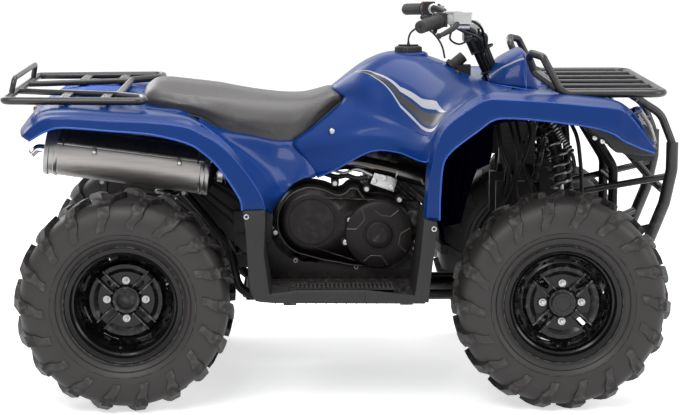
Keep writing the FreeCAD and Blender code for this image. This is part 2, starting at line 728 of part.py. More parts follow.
def make_bumper():
    x = FRONT_END - BUMPER_TUBE
    upper = tube(
        [
            (x - 105, BUMPER_Y, 850.0),
            (x - 36, BUMPER_Y, 806.0),
            (x, BUMPER_Y, 718.0),
            (x, BUMPER_Y, 640.0),
        ],
        BUMPER_ARM,
        70.0,
    )
    lower = tube(
        [
            (x, BUMPER_Y, 722.0),
            (x, BUMPER_Y, 640.0),
            (x - 20, BUMPER_Y, 540.0),
            (x - 62, BUMPER_Y, 432.0),
        ],
        BUMPER_TUBE,
        70.0,
    )
    upright = join([upper, lower])
    pieces = [upright, mirror(upright)]
    bar_z = FRONT_RACK_Z - RACK_TUBE - SEAT_GAP - 12.0
    for bar_x, z in ((x - 12, 570.0), (x - 98, bar_z)):
        pieces.append(cylinder((bar_x, -BUMPER_Y, z), (bar_x, BUMPER_Y, z), 12.0))
    post = cylinder(POST_FOOT, POST_TOP, CROSS_TUBE + SEAT_GAP)
    brace = cylinder((x - 2, BUMPER_Y - 4, 622.0), (669.0, NOSE_Y + 5, 562.0), 10.0).cut(post)
    diagonal = cylinder((x - 14, 60.0, 568.0), (842.0, 60.0, 690.0), 10.0)
    nose = cylinder((800.0, NOSE_Y, 350.0), (800.0, NOSE_Y, 500.0), FRAME_TUBE + SEAT_GAP)
    foot = cylinder((x - 44, BUMPER_Y, 470.0), (800.0, NOSE_Y, 430.0), 12.0).cut(nose)
    pieces += [brace, mirror(brace), diagonal, mirror(diagonal), foot, mirror(foot)]
    bumper = join(pieces)
    export("front_bumper", [bumper.cut(box((700, -400, PANEL_Z - SEAT_GAP), (880, 400, PANEL_Z + 60)))])


ENGINE_BAR_X = (-165.0, 165.0)
POST_FOOT = (690.0, NOSE_Y + 16, GROUND_CLEARANCE + 30)
POST_TOP = (650.0, NOSE_Y + 4, 806.0)
PANEL_Z = 688.0


def tab_to(low, high, foot, target):
    """A tab from its foot as far as the piece that it meets."""
    return min(box(low, high).cut(target).Solids, key=lambda part: part.CenterOfMass.distanceToPoint(V(*foot)))


def column_bearing(cross, z):
    """A cross tube with the ring that the steering column turns in."""
    ring = cylinder(column_point(z, -12), column_point(z, 12), COLUMN_RADIUS + 11)
    arm = box((column_x(z) + 18, -12, z - 8), (556, 12, z + 8))
    bore = cylinder(column_point(z, -60), column_point(z, 60), COLUMN_RADIUS + RUNNING_GAP)
    return join([cross, arm, ring]).cut(bore).Solids[0]


def between(cross, left, right):
    """The part of a cross tube that lies between the frame's two sides."""
    return max(cross.cut(left).cut(right).Solids, key=lambda solid: solid.Volume)


def make_frame():
    """Two flat side frames, and the tubes and bars that join them."""
    lower_z = GROUND_CLEARANCE + 4 + FRAME_TUBE
    lower = tube(
        [
            (-385.0, UPPER_RAIL_Y, 700.0),
            (-345.0, RAIL_Y, 395.0),
            (-320.0, RAIL_Y, lower_z),
            (430.0, RAIL_Y, lower_z),
            (765.0, NOSE_Y + 12, lower_z + 12),
            (800.0, NOSE_Y, 440.0),
            (800.0, NOSE_Y, 640.0),
            (700.0, NOSE_Y, 800.0),
            (520.0, NOSE_Y + 8, 815.0),
            (330.0, UPPER_RAIL_Y, 790.0),
            (40.0, UPPER_RAIL_Y, 700.0),
            (-300.0, UPPER_RAIL_Y, 688.0),
            (-620.0, UPPER_RAIL_Y, 762.0),
            (-880.0, UPPER_RAIL_Y, 778.0),
        ],
        FRAME_TUBE,
        60.0,
    )
    rear_stay = cylinder((-352.0, RAIL_Y, 420.0), (-640.0, UPPER_RAIL_Y, 763.0), CROSS_TUBE)
    front_post = cylinder((445.0, RAIL_Y, lower_z + 2), (505.0, NOSE_Y + 8, 815.0), CROSS_TUBE)
    middle_post = cylinder(POST_FOOT, POST_TOP, CROSS_TUBE)
    side_tube = cylinder((462.0, 124.0, UPPER_BALL_Z + PIVOT_RISE), (800.0, NOSE_Y, UPPER_BALL_Z + PIVOT_RISE), CROSS_TUBE)
    shock_seat = box((FRONT_AXLE_X - 16, NOSE_Y, 796), (FRONT_AXLE_X + 16, SHOCK_TOP[1] - EYE_HALF, 816))
    sides = [lower, rear_stay, front_post, middle_post, side_tube, shock_seat]
    for ball_z, offsets, pivot_y in (
        (UPPER_BALL_Z, UPPER_PIVOT_X, UPPER_PIVOT_Y),
        (LOWER_BALL_Z, LOWER_PIVOT_X, LOWER_PIVOT_Y),
    ):
        z = ball_z + PIVOT_RISE
        for offset in offsets:
            for end in (-1, 1):
                near = FRONT_AXLE_X + offset + end * (PIVOT_HALF + SEAT_GAP)
                far = near + end * 5
                sides.append(box((min(near, far), 104, z - 15), (max(near, far), pivot_y + 14, z + 20)))
    sides.append(box((-350, SWING_HALF + SEAT_GAP, SWING_Z - 20), (-282, RAIL_Y, SWING_Z + 20)))
    for x in ENGINE_BAR_X:
        sides.append(cylinder((x, RAIL_Y, lower_z), (x, FLOOR_IN_Y + 60, FLOOR_Z - 14), 9.0))
        sides.append(box((x - 18, FLOOR_IN_Y + 20, FLOOR_Z - 18), (x + 18, FLOOR_OUT_Y - 60, FLOOR_Z)))
    for low, high, foot, target in (
        ((362, 112, 786), (402, 176, 796), (395, 118, 792), mirror(mudguard())),
        ((12, 118, 702), (28, 285, 710), (20, 130, 706), mirror(side_panel())),
        ((322, 112, 798), (338, 128, 960), (330, 120, 810), tank_cover()),
        ((592, 98, 802), (608, 112, 880), (600, 105, 810), front_fender()),
    ):
        sides.append(tab_to(low, high, foot, target))
    left = join(sides)
    hanger = tab_to((-628, -300, 742), (-612, -118, 754), (-620, -120, 748), silencer().fuse(heat_shield()))
    right = join([mirror(left), hanger])
    export("frame_sides", [left, right])

    crosses = []
    for x, z, y in (
        (-300.0, lower_z, RAIL_Y),
        (400.0, lower_z, RAIL_Y),
        (800.0, 460.0, NOSE_Y),
        (800.0, 600.0, NOSE_Y),
        (-860.0, 777.0, UPPER_RAIL_Y),
        (-600.0, 757.0, UPPER_RAIL_Y),
        (-240.0, 690.0, UPPER_RAIL_Y),
        (560.0, 812.0, NOSE_Y + 6),
    ):
        crosses.append(cylinder((x, -y, z), (x, y, z), CROSS_TUBE))
    crosses[-1] = column_bearing(crosses[-1], 812.0)
    x = REAR_SHOCK_TOP[0]
    z = REAR_SHOCK_TOP[2]
    shock_cross = [cylinder((x, -UPPER_RAIL_Y, z + 36), (x, UPPER_RAIL_Y, z + 36), CROSS_TUBE)]
    for side in (-1, 1):
        inner = side * EYE_HALF
        outer = side * (EYE_HALF + 6)
        shock_cross.append(box((x - 15, min(inner, outer), z - 3), (x + 15, max(inner, outer), z + 36)))
    crosses.append(join(shock_cross))
    for x in ENGINE_BAR_X:
        crosses.append(box((x - 15, -RAIL_Y, lower_z), (x + 15, RAIL_Y, ENGINE_LOW_Z)))
    export("frame_crosses", [between(cross, left, right) for cross in crosses])


def make_engine():
    """The closed engine as one block: crankcase, leaning finned cylinder and left cover."""
    case = box((-205, -150, ENGINE_LOW_Z), (215, 150, 545))
    left_cover = cylinder((60, 140, 430), (60, 205, 430), 112.0)
    barrel = box((0, -95, 0), (150, 95, 150))
    fins = []
    for index in range(6):
        fins.append(box((-14, -108, 34 + 18 * index), (164, 108, 42 + 18 * index)))
    cylinder_block = join([barrel] + fins)
    cylinder_block.rotate(V(0, 0, 0), V(0, 1, 0), 42)
    cylinder_block.translate(V(30, 0, 545))
    export("engine", [join([case, left_cover, cylinder_block])])


def make_covers():
    left = (-100.0, 503.0)
    right = (93.0, 469.0)
    body = join(
        [
            cylinder((left[0], -262, left[1]), (left[0], -150, left[1]), 120.0),
            cylinder((right[0], -262, right[1]), (right[0], -150, right[1]), 108.0),
            plate([(left[0], 384.0), (right[0], 362.0), (right[0], 576.0), (30.0, 622.0), (left[0], 622.0)], 112.0, -262.0),
        ]
    )
    export("belt_cover", [body])
    cover = join(
        [
            cylinder((right[0], -285, right[1]), (right[0], -262, right[1]), 98.0),
            cylinder((right[0], -291, right[1]), (right[0], -284, right[1]), 42.0),
        ]
    )
    export("clutch_cover", [cover])


SILENCER_FRONT = V(-376.0, -315.0, 660.0)
SILENCER_REAR = V(-858.0, -315.0, 727.0)
SILENCER_RADIUS = 68.0
SHIELD_RADIUS = SILENCER_RADIUS + 8
PIPE_RADIUS = 19.0


def silencer_point(distance):
    """A point on the silencer's axis, measured back from its front end."""
    p = SILENCER_FRONT + (SILENCER_REAR - SILENCER_FRONT).normalize() * distance
    return (p.x, p.y, p.z)


def exhaust_route():
    return [
        (205.0, -60.0, 640.0),
        (235.0, -160.0, 612.0),
        (150.0, -165.0, 634.0),
        (0.0, -165.0, 668.0),
        (-215.0, -165.0, 648.0),
        silencer_point(-77),
        silencer_point(-2 - SEAT_GAP),
    ]


def make_exhaust():
    export("exhaust_pipe", [tube(exhaust_route(), PIPE_RADIUS, 30.0)])


def silencer():
    """The can with its front cone, its bands and its tail pipe."""
    axis = (SILENCER_REAR - SILENCER_FRONT).normalize()
    at = silencer_point
    reach = (SILENCER_REAR - SILENCER_FRONT).Length
    pieces = [cylinder(at(12), at(reach), SILENCER_RADIUS)]
    pieces.append(Part.makeCone(SILENCER_RADIUS, 24.0, 14.0, V(*at(12)), axis * -1))
    for distance in (14.0, reach - 26):
        pieces.append(cylinder(at(distance), at(distance + 12), SILENCER_RADIUS + 3))
    for distance in (90.0, reach - 90):
        pieces.append(cylinder(at(distance), at(distance + 14), SHIELD_RADIUS - SEAT_GAP))
    tail = tube([at(reach - 10), at(reach + 22), (at(reach + 46)[0], -322.0, 716.0)], 13.0, 24.0)
    return join(pieces + [tail])


def heat_shield():
    """The half shell that the bands hold over the can."""
    at = silencer_point
    reach = (SILENCER_REAR - SILENCER_FRONT).Length
    cover = cylinder(at(52), at(reach - 34), SHIELD_RADIUS + PANEL)
    inside = cylinder(at(40), at(reach - 20), SHIELD_RADIUS)
    keep = box((-900, -420, 650), (-370, -230, 900))
    keep.rotate(V(-600, -315, 700), V(0, 1, 0), 8)
    low = placed(keep, 0, 0, 30)
    return cover.cut(inside).common(low).Solids[0]


def arch(stations, thickness):
    """A thin fender shell. Each station gives the crease (x, y, z), the lower edge (x, y, z),
    the inner edge's y and how far it rises beyond the crease."""
    rings = []
    for crease, edge, inner_y, rise in stations:
        a = V(*crease)
        q = V(*edge)
        up = V(a.x - q.x, 0, a.z - q.z)
        up.normalize()
        outer_drop = V(0, thickness, 0)
        inner = V(a.x, inner_y, a.z) + up * rise
        ring = [a, q, q + outer_drop, a + outer_drop - up * thickness, inner - up * thickness, inner]
        rings.append([(p.x, p.y, p.z) for p in ring])
    return loft(rings, ruled=True)


def seat_side_cover():
    """The hollow panel between the seat and the fender's leg. Each level gives the height of its
    outer end, of its inner end and the (x, y) points from the leg inwards and forwards."""
    levels = [
        (784, 807, [(-401, -474), (-413, -404), (-425, -334), (-437, -264), (-449, -194)]),
        (765, 765, [(-366, -474), (-372, -390), (-390, -310), (-386, -240), (-374, -188)]),
        (735, 735, [(-328, -474), (-334, -375), (-352, -285), (-340, -206), (-268, -180)]),
        (680, 680, [(-280, -474), (-286, -340), (-275, -238), (-212, -202), (-144, -196)]),
        (625, 625, [(-250, -474), (-242, -370), (-227, -290), (-187, -244), (-124, -252)]),
        (604, 604, [(-244, -474), (-232, -370), (-219, -291), (-197, -262), (-172, -256)]),
        (583, 583, [(-238, -474), (-222, -370), (-212, -292), (-204, -272), (-197, -264)]),
        (552, 552, [(-224, -370), (-221, -340), (-218, -310), (-216, -285), (-214, -266)]),
    ]
    rings = []
    for outer_z, inner_z, points in levels:
        step = (inner_z - outer_z) / (len(points) - 1)
        ring = [(x, y, outer_z + step * i) for i, (x, y) in enumerate(points)]
        back = [(x - COVER_SHIFT, y + COVER_SHIFT, z) for x, y, z in ring[::-1]]
        rings.append(ring + back)
    return loft(rings, ruled=True)


def rear_fender():
    """The rear fender with its side covers and the pad under the seat."""
    stations = [
        ((-905, -440, 800), (-902, -452, 786), -120.0, 14.0),
        ((-838, -480, 840), (-822, -500, 806), -120.0, 16.0),
        ((-684, -490, 838), (-684, -SKIRT_Y, 800), -120.0, 12.0),
        ((-548, -490, 830), (-556, -SKIRT_Y, 790), -175.0, 6.0),
        ((-450, -490, 811), (-462, -SKIRT_Y, 768), -178.0, 4.0),
        ((-396, -490, 785), (-418, -SKIRT_Y, 745), -448.0, 6.0),
        ((-333, -490, 737), (-362, -SKIRT_Y, 694), -448.0, 8.0),
        ((-285, -490, 690), (-326, -SKIRT_Y, 652), -448.0, 10.0),
        ((-254, -490, 636), (-305, -SKIRT_Y, 618), -448.0, 10.0),
        ((-242, -490, 580), (-296, -SKIRT_Y, 580), -448.0, 8.0),
    ]
    side = arch(stations, PANEL)
    cover = seat_side_cover()
    middle = box((-905, -130, 812), (-600, 130, 818))
    pad = box((-612, -130, 812), (-505, 130, SEAT_BASE_Z - SEAT_GAP))
    fender = join([side, cover, mirror(side), mirror(cover), middle, pad])
    return fender.cut(tube(exhaust_route(), PIPE_RADIUS + 6, 30.0)).Solids[0]


def front_fender():
    """The front fender with its hood, without the lamps and the way of the steering column."""
    stations = [
        ((220, -490, 584), (244, -SKIRT_Y, 586), -420.0, 8.0),
        ((221, -490, 662), (252, -SKIRT_Y, 650), -425.0, 8.0),
        ((236, -490, 722), (268, -SKIRT_Y, 706), -405.0, 14.0),
        ((314, -490, 832), (342, -SKIRT_Y, 776), -330.0, 20.0),
        ((400, -488, 884), (415, -SKIRT_Y, 828), -262.0, -18.0),
        ((585, -484, 880), (585, -SKIRT_Y, 818), -200.0, -26.0),
        ((752, -470, 854), (745, -498, 780), -200.0, -14.0),
        ((830, -440, 806), (816, -470, 744), -200.0, -4.0),
        ((884, -400, 752), (872, -430, 724), -200.0, 0.0),
    ]
    side = arch(stations, PANEL)
    hood = loft(
        [
            [
                (HOOD_BACK_X, -215, HOOD_BACK_Z - PANEL),
                (HOOD_BACK_X, 215, HOOD_BACK_Z - PANEL),
                (HOOD_BACK_X, 215, HOOD_BACK_Z),
                (HOOD_BACK_X, -215, HOOD_BACK_Z),
            ],
            [
                (HOOD_FRONT_X, -215, HOOD_FRONT_Z - PANEL),
                (HOOD_FRONT_X, 215, HOOD_FRONT_Z - PANEL),
                (HOOD_FRONT_X, 215, HOOD_FRONT_Z),
                (HOOD_FRONT_X, -215, HOOD_FRONT_Z),
            ],
            [(876, -215, 752), (876, 215, 752), (880, 215, 756), (880, -215, 756)],
        ],
        ruled=True,
    )
    fender = join([side, mirror(side), hood])
    for one in headlamps():
        fender = fender.cut(one)
    return fender.cut(steering_tunnel()).Solids[0]


def shell_sections(sections, thickness):
    """Open-bottomed rings, each an x with (half width, z) points from the middle out."""
    rings = []
    for x, half in sections:
        outer = [(x, y, z) for y, z in half]
        inner = [(x, max(y - thickness, 0), z - thickness) for y, z in half]
        inner[-1] = (x, half[-1][0] - thickness, half[-1][1])
        left = outer[:]
        right = [(x, -y, z) for x, y, z in outer[:0:-1]]
        left_in = inner[:]
        right_in = [(x, -y, z) for x, y, z in inner[:0:-1]]
        rings.append(right + left + left_in[::-1] + right_in[::-1])
    return rings


def steering_tunnel():
    """The room round the column and its cables, which swing with the bars."""
    return cylinder(column_point(BAR_CLAMP_Z, 40), column_point(COLUMN_FOOT_Z, -100), TUNNEL_RADIUS)


def tank_cover():
    """The cover over the tank, with the filler's hole."""
    sections = [
        (-8, [(0, 922), (70, 915), (120, 890), (160, 862)]),
        (50, [(0, 944), (80, 936), (150, 895), (205, 838)]),
        (125, [(0, 972), (90, 962), (180, 905), (250, 812)]),
        (190, [(0, 974), (95, 964), (210, 910), (330, 792)]),
        (246, [(0, 966), (100, 956), (235, 905), (380, 768)]),
        (330, [(0, 944), (110, 938), (240, 905), (300, 866)]),
        (400, [(0, 922), (110, 917), (215, 898), (258, 880)]),
    ]
    rings = shell_sections(sections, PANEL)
    cover = loft(rings, ruled=True)
    neck = cylinder((190, 0, 940), (190, 0, 990), 34.0 + SEAT_GAP)
    return cover.cut(neck).cut(steering_tunnel()).Solids[0]


def make_fuel_cap():
    """The cap with its thin vent hose."""
    cap = join(
        [
            cylinder((190, 0, 950), (190, 0, 984), 34.0),
            cylinder((190, 0, 977), (190, 0, 996), 40.0),
            tube([(190, 0, 990), (190, 0, 1030), (225, 0, 1050), (262, 0, 1036), (290, 0, 1000), (300, 0, 975)], 4.0, 14.0),
        ]
    )
    export("fuel_cap", [cap])


def side_panel():
    """The lower wing of the tank cover, on the right."""
    stations = [
        (-165, (178, 716), (196, 704)),
        (-92, (170, 790), (232, 636)),
        (-8, (166, 846), (250, 686)),
        (80, (224, 820), (318, 716)),
        (150, (285, 788), (384, 716)),
        (208, (352, 764), (432, 704)),
    ]
    rings = []
    for x, (top_y, top_z), (low_y, low_z) in stations:
        rings.append(
            [(x, -top_y, top_z), (x, -low_y, low_z), (x, -low_y + PANEL, low_z), (x, -top_y + PANEL, top_z)]
        )
    return loft(rings, ruled=True)


def make_seat():
    sections = [
        (-4, 78, 846, 836),
        (-60, 100, 866, 806),
        (-126, 120, 848, 752),
        (-200, 138, 850, 728),
        (-330, 158, 862, 752),
        (-400, 163, 872, 796),
        (-500, SEAT_HALF_WIDTH, 886, SEAT_BASE_Z),
        (-590, SEAT_HALF_WIDTH - 15, 880, 826),
    ]
    rings = []
    for x, half, top, low in sections:
        rings.append(
            [
                (x, -half, low),
                (x, half, low),
                (x, half, top - 22 if top - low > 30 else low + 4),
                (x, half - 28, top),
                (x, -half + 28, top),
                (x, -half, top - 22 if top - low > 30 else low + 4),
            ]
        )
    export("seat", [loft(rings, ruled=True)])


def make_cowl():
    sections = [
        (452, [(0, 908), (70, 902), (120, 890), (140, 876)]),
        (500, [(0, 962), (60, 956), (110, 930), (150, 876)]),
        (528, [(0, 985), (50, 978), (105, 940), (150, 874)]),
        (560, [(0, 950), (50, 944), (105, 915), (150, 874)]),
        (585, [(0, 884), (60, 882), (100, 878), (140, 873)]),
    ]
    rings = [[(x, -y, z) for y, z in half[:0:-1]] + [(x, y, z) for y, z in half] for x, half in sections]
    cowl = loft(rings, ruled=True)
    foot = box((556, 112, hood_z(556) + SEAT_GAP), (576, 132, 884))
    export("instrument_cowl", [join([cowl, foot, mirror(foot)]).cut(steering_tunnel())])


def headlamps():
    """Slanted lenses in the front corners."""
    lamp = loft(
        [
            [(868, -440, 838), (896, -330, 838), (880, -330, 838), (852, -440, 838)],
            [(896, -420, 738), (912, -330, 738), (896, -330, 738), (880, -420, 738)],
        ],
        ruled=True,
    )
    return [lamp, mirror(lamp)]


def make_lamps():
    export("headlamps", headlamps())
    export("tail_lamp", [box((-929, -75, 800), (-905, 75, 836))])
    nose = box((822, -320, PANEL_Z), (884, 320, PANEL_Z + 16))
    wing = loft(
        [
            [(700, 150, 764), (700, 320, 764), (700, 320, 776), (700, 150, 776)],
            [(830, 150, PANEL_Z), (830, 320, PANEL_Z), (830, 320, PANEL_Z + 16), (830, 150, PANEL_Z + 16)],
        ],
        ruled=True,
    )
    export("front_panel", [join([nose, wing, mirror(wing)])])


def make_footwells():
    floor = box((-262, -FLOOR_OUT_Y, FLOOR_Z), (232, -FLOOR_IN_Y, FLOOR_Z + FLOOR_DEPTH))
    tray = box((-250, -FLOOR_OUT_Y + 8, FLOOR_Z + PANEL), (220, -FLOOR_IN_Y - 6, FLOOR_Z + FLOOR_DEPTH + 1))
    front_leg = loft(
        [
            [(206, -FLOOR_OUT_Y, FLOOR_Z), (232, -FLOOR_OUT_Y, FLOOR_Z), (232, -300, FLOOR_Z), (206, -300, FLOOR_Z)],
            [(216, -SKIRT_Y, 578), (244, -SKIRT_Y, 578), (236, -300, 578), (226, -300, 578)],
        ],
        ruled=True,
    )
    rear_leg = loft(
        [
            [(-262, -FLOOR_OUT_Y, FLOOR_Z), (-214, -FLOOR_OUT_Y, FLOOR_Z), (-240, -300, FLOOR_Z), (-262, -300, FLOOR_Z)],
            [(-292, -SKIRT_Y, 579), (-232, -SKIRT_Y, 579), (-262, -300, 579), (-280, -300, 579)],
        ],
        ruled=True,
    )
    well = join([floor.cut(tray), front_leg, rear_leg])
    export("footwells", [well, mirror(well)])
    peg = box((-150, -500, FLOOR_Z + PANEL), (130, -440, FLOOR_Z + 34))
    export("footpegs", [peg, mirror(peg)])


def mudguard():
    """The inner guard behind the right front wheel."""
    return loft(
        [
            [(254, -420, 590), (254, -150, 590), (258, -150, 590), (258, -420, 590)],
            [(330, -420, 760), (330, -150, 760), (334, -150, 760), (334, -420, 760)],
            [(420, -420, 850), (420, -150, 850), (424, -150, 848), (424, -420, 848)],
        ],
        ruled=True,
    )


def make_underside():
    export("skid_plate", [box((-300, -RAIL_Y, GROUND_CLEARANCE), (420, RAIL_Y, GROUND_CLEARANCE + 4))])
    hitch = box((HITCH_X - 27, -45, HITCH_Z), (REAR_AXLE_X - 55, 45, HITCH_Z + 8))
    hitch = hitch.cut(cylinder((HITCH_X, 0, HITCH_Z - 10), (HITCH_X, 0, HITCH_Z + 20), 9.5))
    export("hitch_plate", [hitch])


def make_cables():
    cable = tube(
        [
            (BAR_X + 24 + SEAT_GAP, -18.0, 1032.0),
            (BAR_X + 44, -18.0, 1032.0),
            (421.0, -14.0, 1000.0),
            (446.0, -12.0, 940.0),
            (468.0, -12.0, 892.0),
        ],
        CABLE_RADIUS,
        14.0,
    )
    export("control_cables", [cable])


os.makedirs("parts", exist_ok=True)
make_wheels()
make_rear_axle()
make_swingarm()
make_suspension()
make_knuckles()
make_steering()
make_handlebar()
make_rear_rack()
make_front_rack()
make_bumper()
make_frame()
make_engine()
make_covers()
make_exhaust()
export("silencer", [silencer()])
export("heat_shield", [heat_shield()])
export("rear_fender", [rear_fender()])
export("front_fender", [front_fender()])
export("tank_cover", [tank_cover()])
make_fuel_cap()
export("side_panels", [side_panel(), mirror(side_panel())])
export("front_mudguards", [mudguard(), mirror(mudguard())])
make_seat()
make_cowl()
make_lamps()
make_footwells()
make_underside()
make_cables()
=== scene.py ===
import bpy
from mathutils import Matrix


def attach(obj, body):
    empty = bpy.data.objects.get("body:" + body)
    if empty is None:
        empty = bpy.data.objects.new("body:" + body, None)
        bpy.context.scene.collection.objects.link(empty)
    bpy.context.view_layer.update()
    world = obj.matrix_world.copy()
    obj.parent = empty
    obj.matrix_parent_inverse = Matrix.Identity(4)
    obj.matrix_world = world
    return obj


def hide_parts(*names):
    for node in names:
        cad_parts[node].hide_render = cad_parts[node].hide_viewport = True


bl_info = {
    "name": "Quad bike dressing",
    "version": (1, 0, 0),
    "blender": (4, 5, 0),
    "location": "3D view > Sidebar > Quad bike",
    "description": "Builds the visible pieces of a utility quad bike on its packed frame",
    "category": "Object",
}

from math import cos, dist, exp, hypot, pi, radians, sin, sqrt, tan

import bmesh
import bpy
from mathutils import Matrix, Vector
from mathutils.geometry import delaunay_2d_cdt, intersect_line_line

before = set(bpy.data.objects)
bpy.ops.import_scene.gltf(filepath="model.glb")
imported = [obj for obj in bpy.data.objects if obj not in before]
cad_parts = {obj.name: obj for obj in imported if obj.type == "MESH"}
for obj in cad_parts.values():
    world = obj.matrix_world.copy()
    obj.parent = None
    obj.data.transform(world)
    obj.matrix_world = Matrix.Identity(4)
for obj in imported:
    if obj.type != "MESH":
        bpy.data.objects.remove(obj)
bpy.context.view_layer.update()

TURN = 2 * pi
RIGHT = -1
LEFT = 1
WHEEL_Z = 0.31
FRONT_WHEEL = (0.603, 0.4375)
REAR_WHEEL = (-0.63, 0.413)
finishes = {}


def metres(values):
    """A length in millimetres, or nested lists of them, in metres."""
    return values / 1000 if isinstance(values, (int, float)) else [metres(value) for value in values]


# Sizes and colours that a user would change


class QuadColours(bpy.types.PropertyGroup):
    """Colours of the main finishes."""

    panel: bpy.props.FloatVectorProperty(name="Body panels",
        description="Gloss plastic of the fenders and covers", subtype="COLOR", size=3, min=0, max=1,
        default=(0.0018, 0.026, 0.14))
    # near black for the guards inside the front wheel arches: a painted shade
    inner: bpy.props.FloatVectorProperty(name="Inner guards",
        description="Dark plastic behind the front wheels", subtype="COLOR", size=3, min=0, max=1,
        default=(0.001, 0.001, 0.006))
    black: bpy.props.FloatVectorProperty(name="Black plastic", description="Footwells, covers and housings",
        subtype="COLOR", size=3, min=0, max=1, default=(0.016, 0.015, 0.015))
    rack: bpy.props.FloatVectorProperty(name="Rack paint",
        description="Powder coat of the racks and the bumper", subtype="COLOR", size=3, min=0, max=1,
        default=(0.018, 0.0165, 0.016))
    rubber: bpy.props.FloatVectorProperty(name="Tyre rubber", description="Rubber of the tyres",
        subtype="COLOR", size=3, min=0, max=1, default=(0.022, 0.0197, 0.0187))
    seat: bpy.props.FloatVectorProperty(name="Seat vinyl", description="Cover of the seat", subtype="COLOR",
        size=3, min=0, max=1, default=(0.041, 0.038, 0.037))


class QuadTyre(bpy.types.PropertyGroup):
    """Sizes of the tread."""

    lugs: bpy.props.IntProperty(name="Lugs a side", description="Tread blocks on each side of a tyre",
        default=18, min=8, max=30)
    lug_height: bpy.props.FloatProperty(name="Lug height",
        description="How far a block stands off the carcass", default=0.0155,
        unit="LENGTH", min=0.004, max=0.02)
    lug_width: bpy.props.FloatProperty(name="Lug width", description="Width of a block at the shoulder",
        default=0.036, unit="LENGTH", min=0.01, max=0.06)
    steps: bpy.props.IntProperty(name="Steps round", description="Facets round the carcass",
        default=108, min=24, max=200)


class QuadPanels(bpy.types.PropertyGroup):
    """Sizes of the sheet pieces."""

    thickness: bpy.props.FloatProperty(name="Panel thickness", description="Wall of the moulded panels",
        default=0.0035, unit="LENGTH", min=0.001, max=0.01)
    fineness: bpy.props.IntProperty(name="Fineness", description="Faces between two control points",
        default=6, min=2, max=12)
    seat_swell: bpy.props.FloatProperty(name="Seat swell",
        description="The most that the seat cover may move when it is filled", default=0.006,
        unit="LENGTH", min=0, max=0.02)


# Mesh tools


BOX_FACES = ((3, 2, 1, 0), (4, 5, 6, 7), (0, 1, 5, 4), (1, 2, 6, 5), (2, 3, 7, 6), (3, 0, 4, 7))


def ends_of(direction):
    """Two unit vectors square to a direction."""
    direction = direction.normalized()
    helper = Vector((0, 0, 1)) if abs(direction.z) < 0.9 else Vector((1, 0, 0))
    side = direction.cross(helper).normalized()
    return side, direction.cross(side).normalized()


def smooth_line(points, per_span, closed=False):
    """A line that passes smoothly through its points."""
    points = [Vector(p) for p in points]
    count = len(points)
    spans = count if closed else count - 1
    made = []
    for span in range(spans):
        if closed:
            a, b, c, d = (points[(span + k) % count] for k in (-1, 0, 1, 2))
        else:
            b, c = points[span], points[span + 1]
            a = points[span - 1] if span else b + (b - c)
            d = points[span + 2] if span + 2 < count else c + (c - b)
        for step in range(per_span):
            t = step / per_span
            made.append(0.5 * ((2 * b) + (c - a) * t + (2 * a - 5 * b + 4 * c - d) * t * t
                + (3 * b - 3 * c + d - a) * t ** 3))
    if not closed:
        made.append(points[-1])
    return made


def bent_line(points, bend, steps=6):
    """Straight runs joined by round bends."""
    points = [Vector(p) for p in points]
    made = [points[0]]
    for before, corner, after in zip(points, points[1:], points[2:]):
        one, two = before - corner, after - corner
        half = one.angle(two) / 2
        if half > 1.55:
            made.append(corner)
            continue
        reach = min(bend / tan(half), 0.48 * one.length, 0.48 * two.length)
        start, end = corner + one.normalized() * reach, corner + two.normalized() * reach
        for step in range(steps + 1):
            t = step / steps
            made.append(start * (1 - t) ** 2 + corner * 2 * t * (1 - t) + end * t * t)
    made.append(points[-1])
    return made


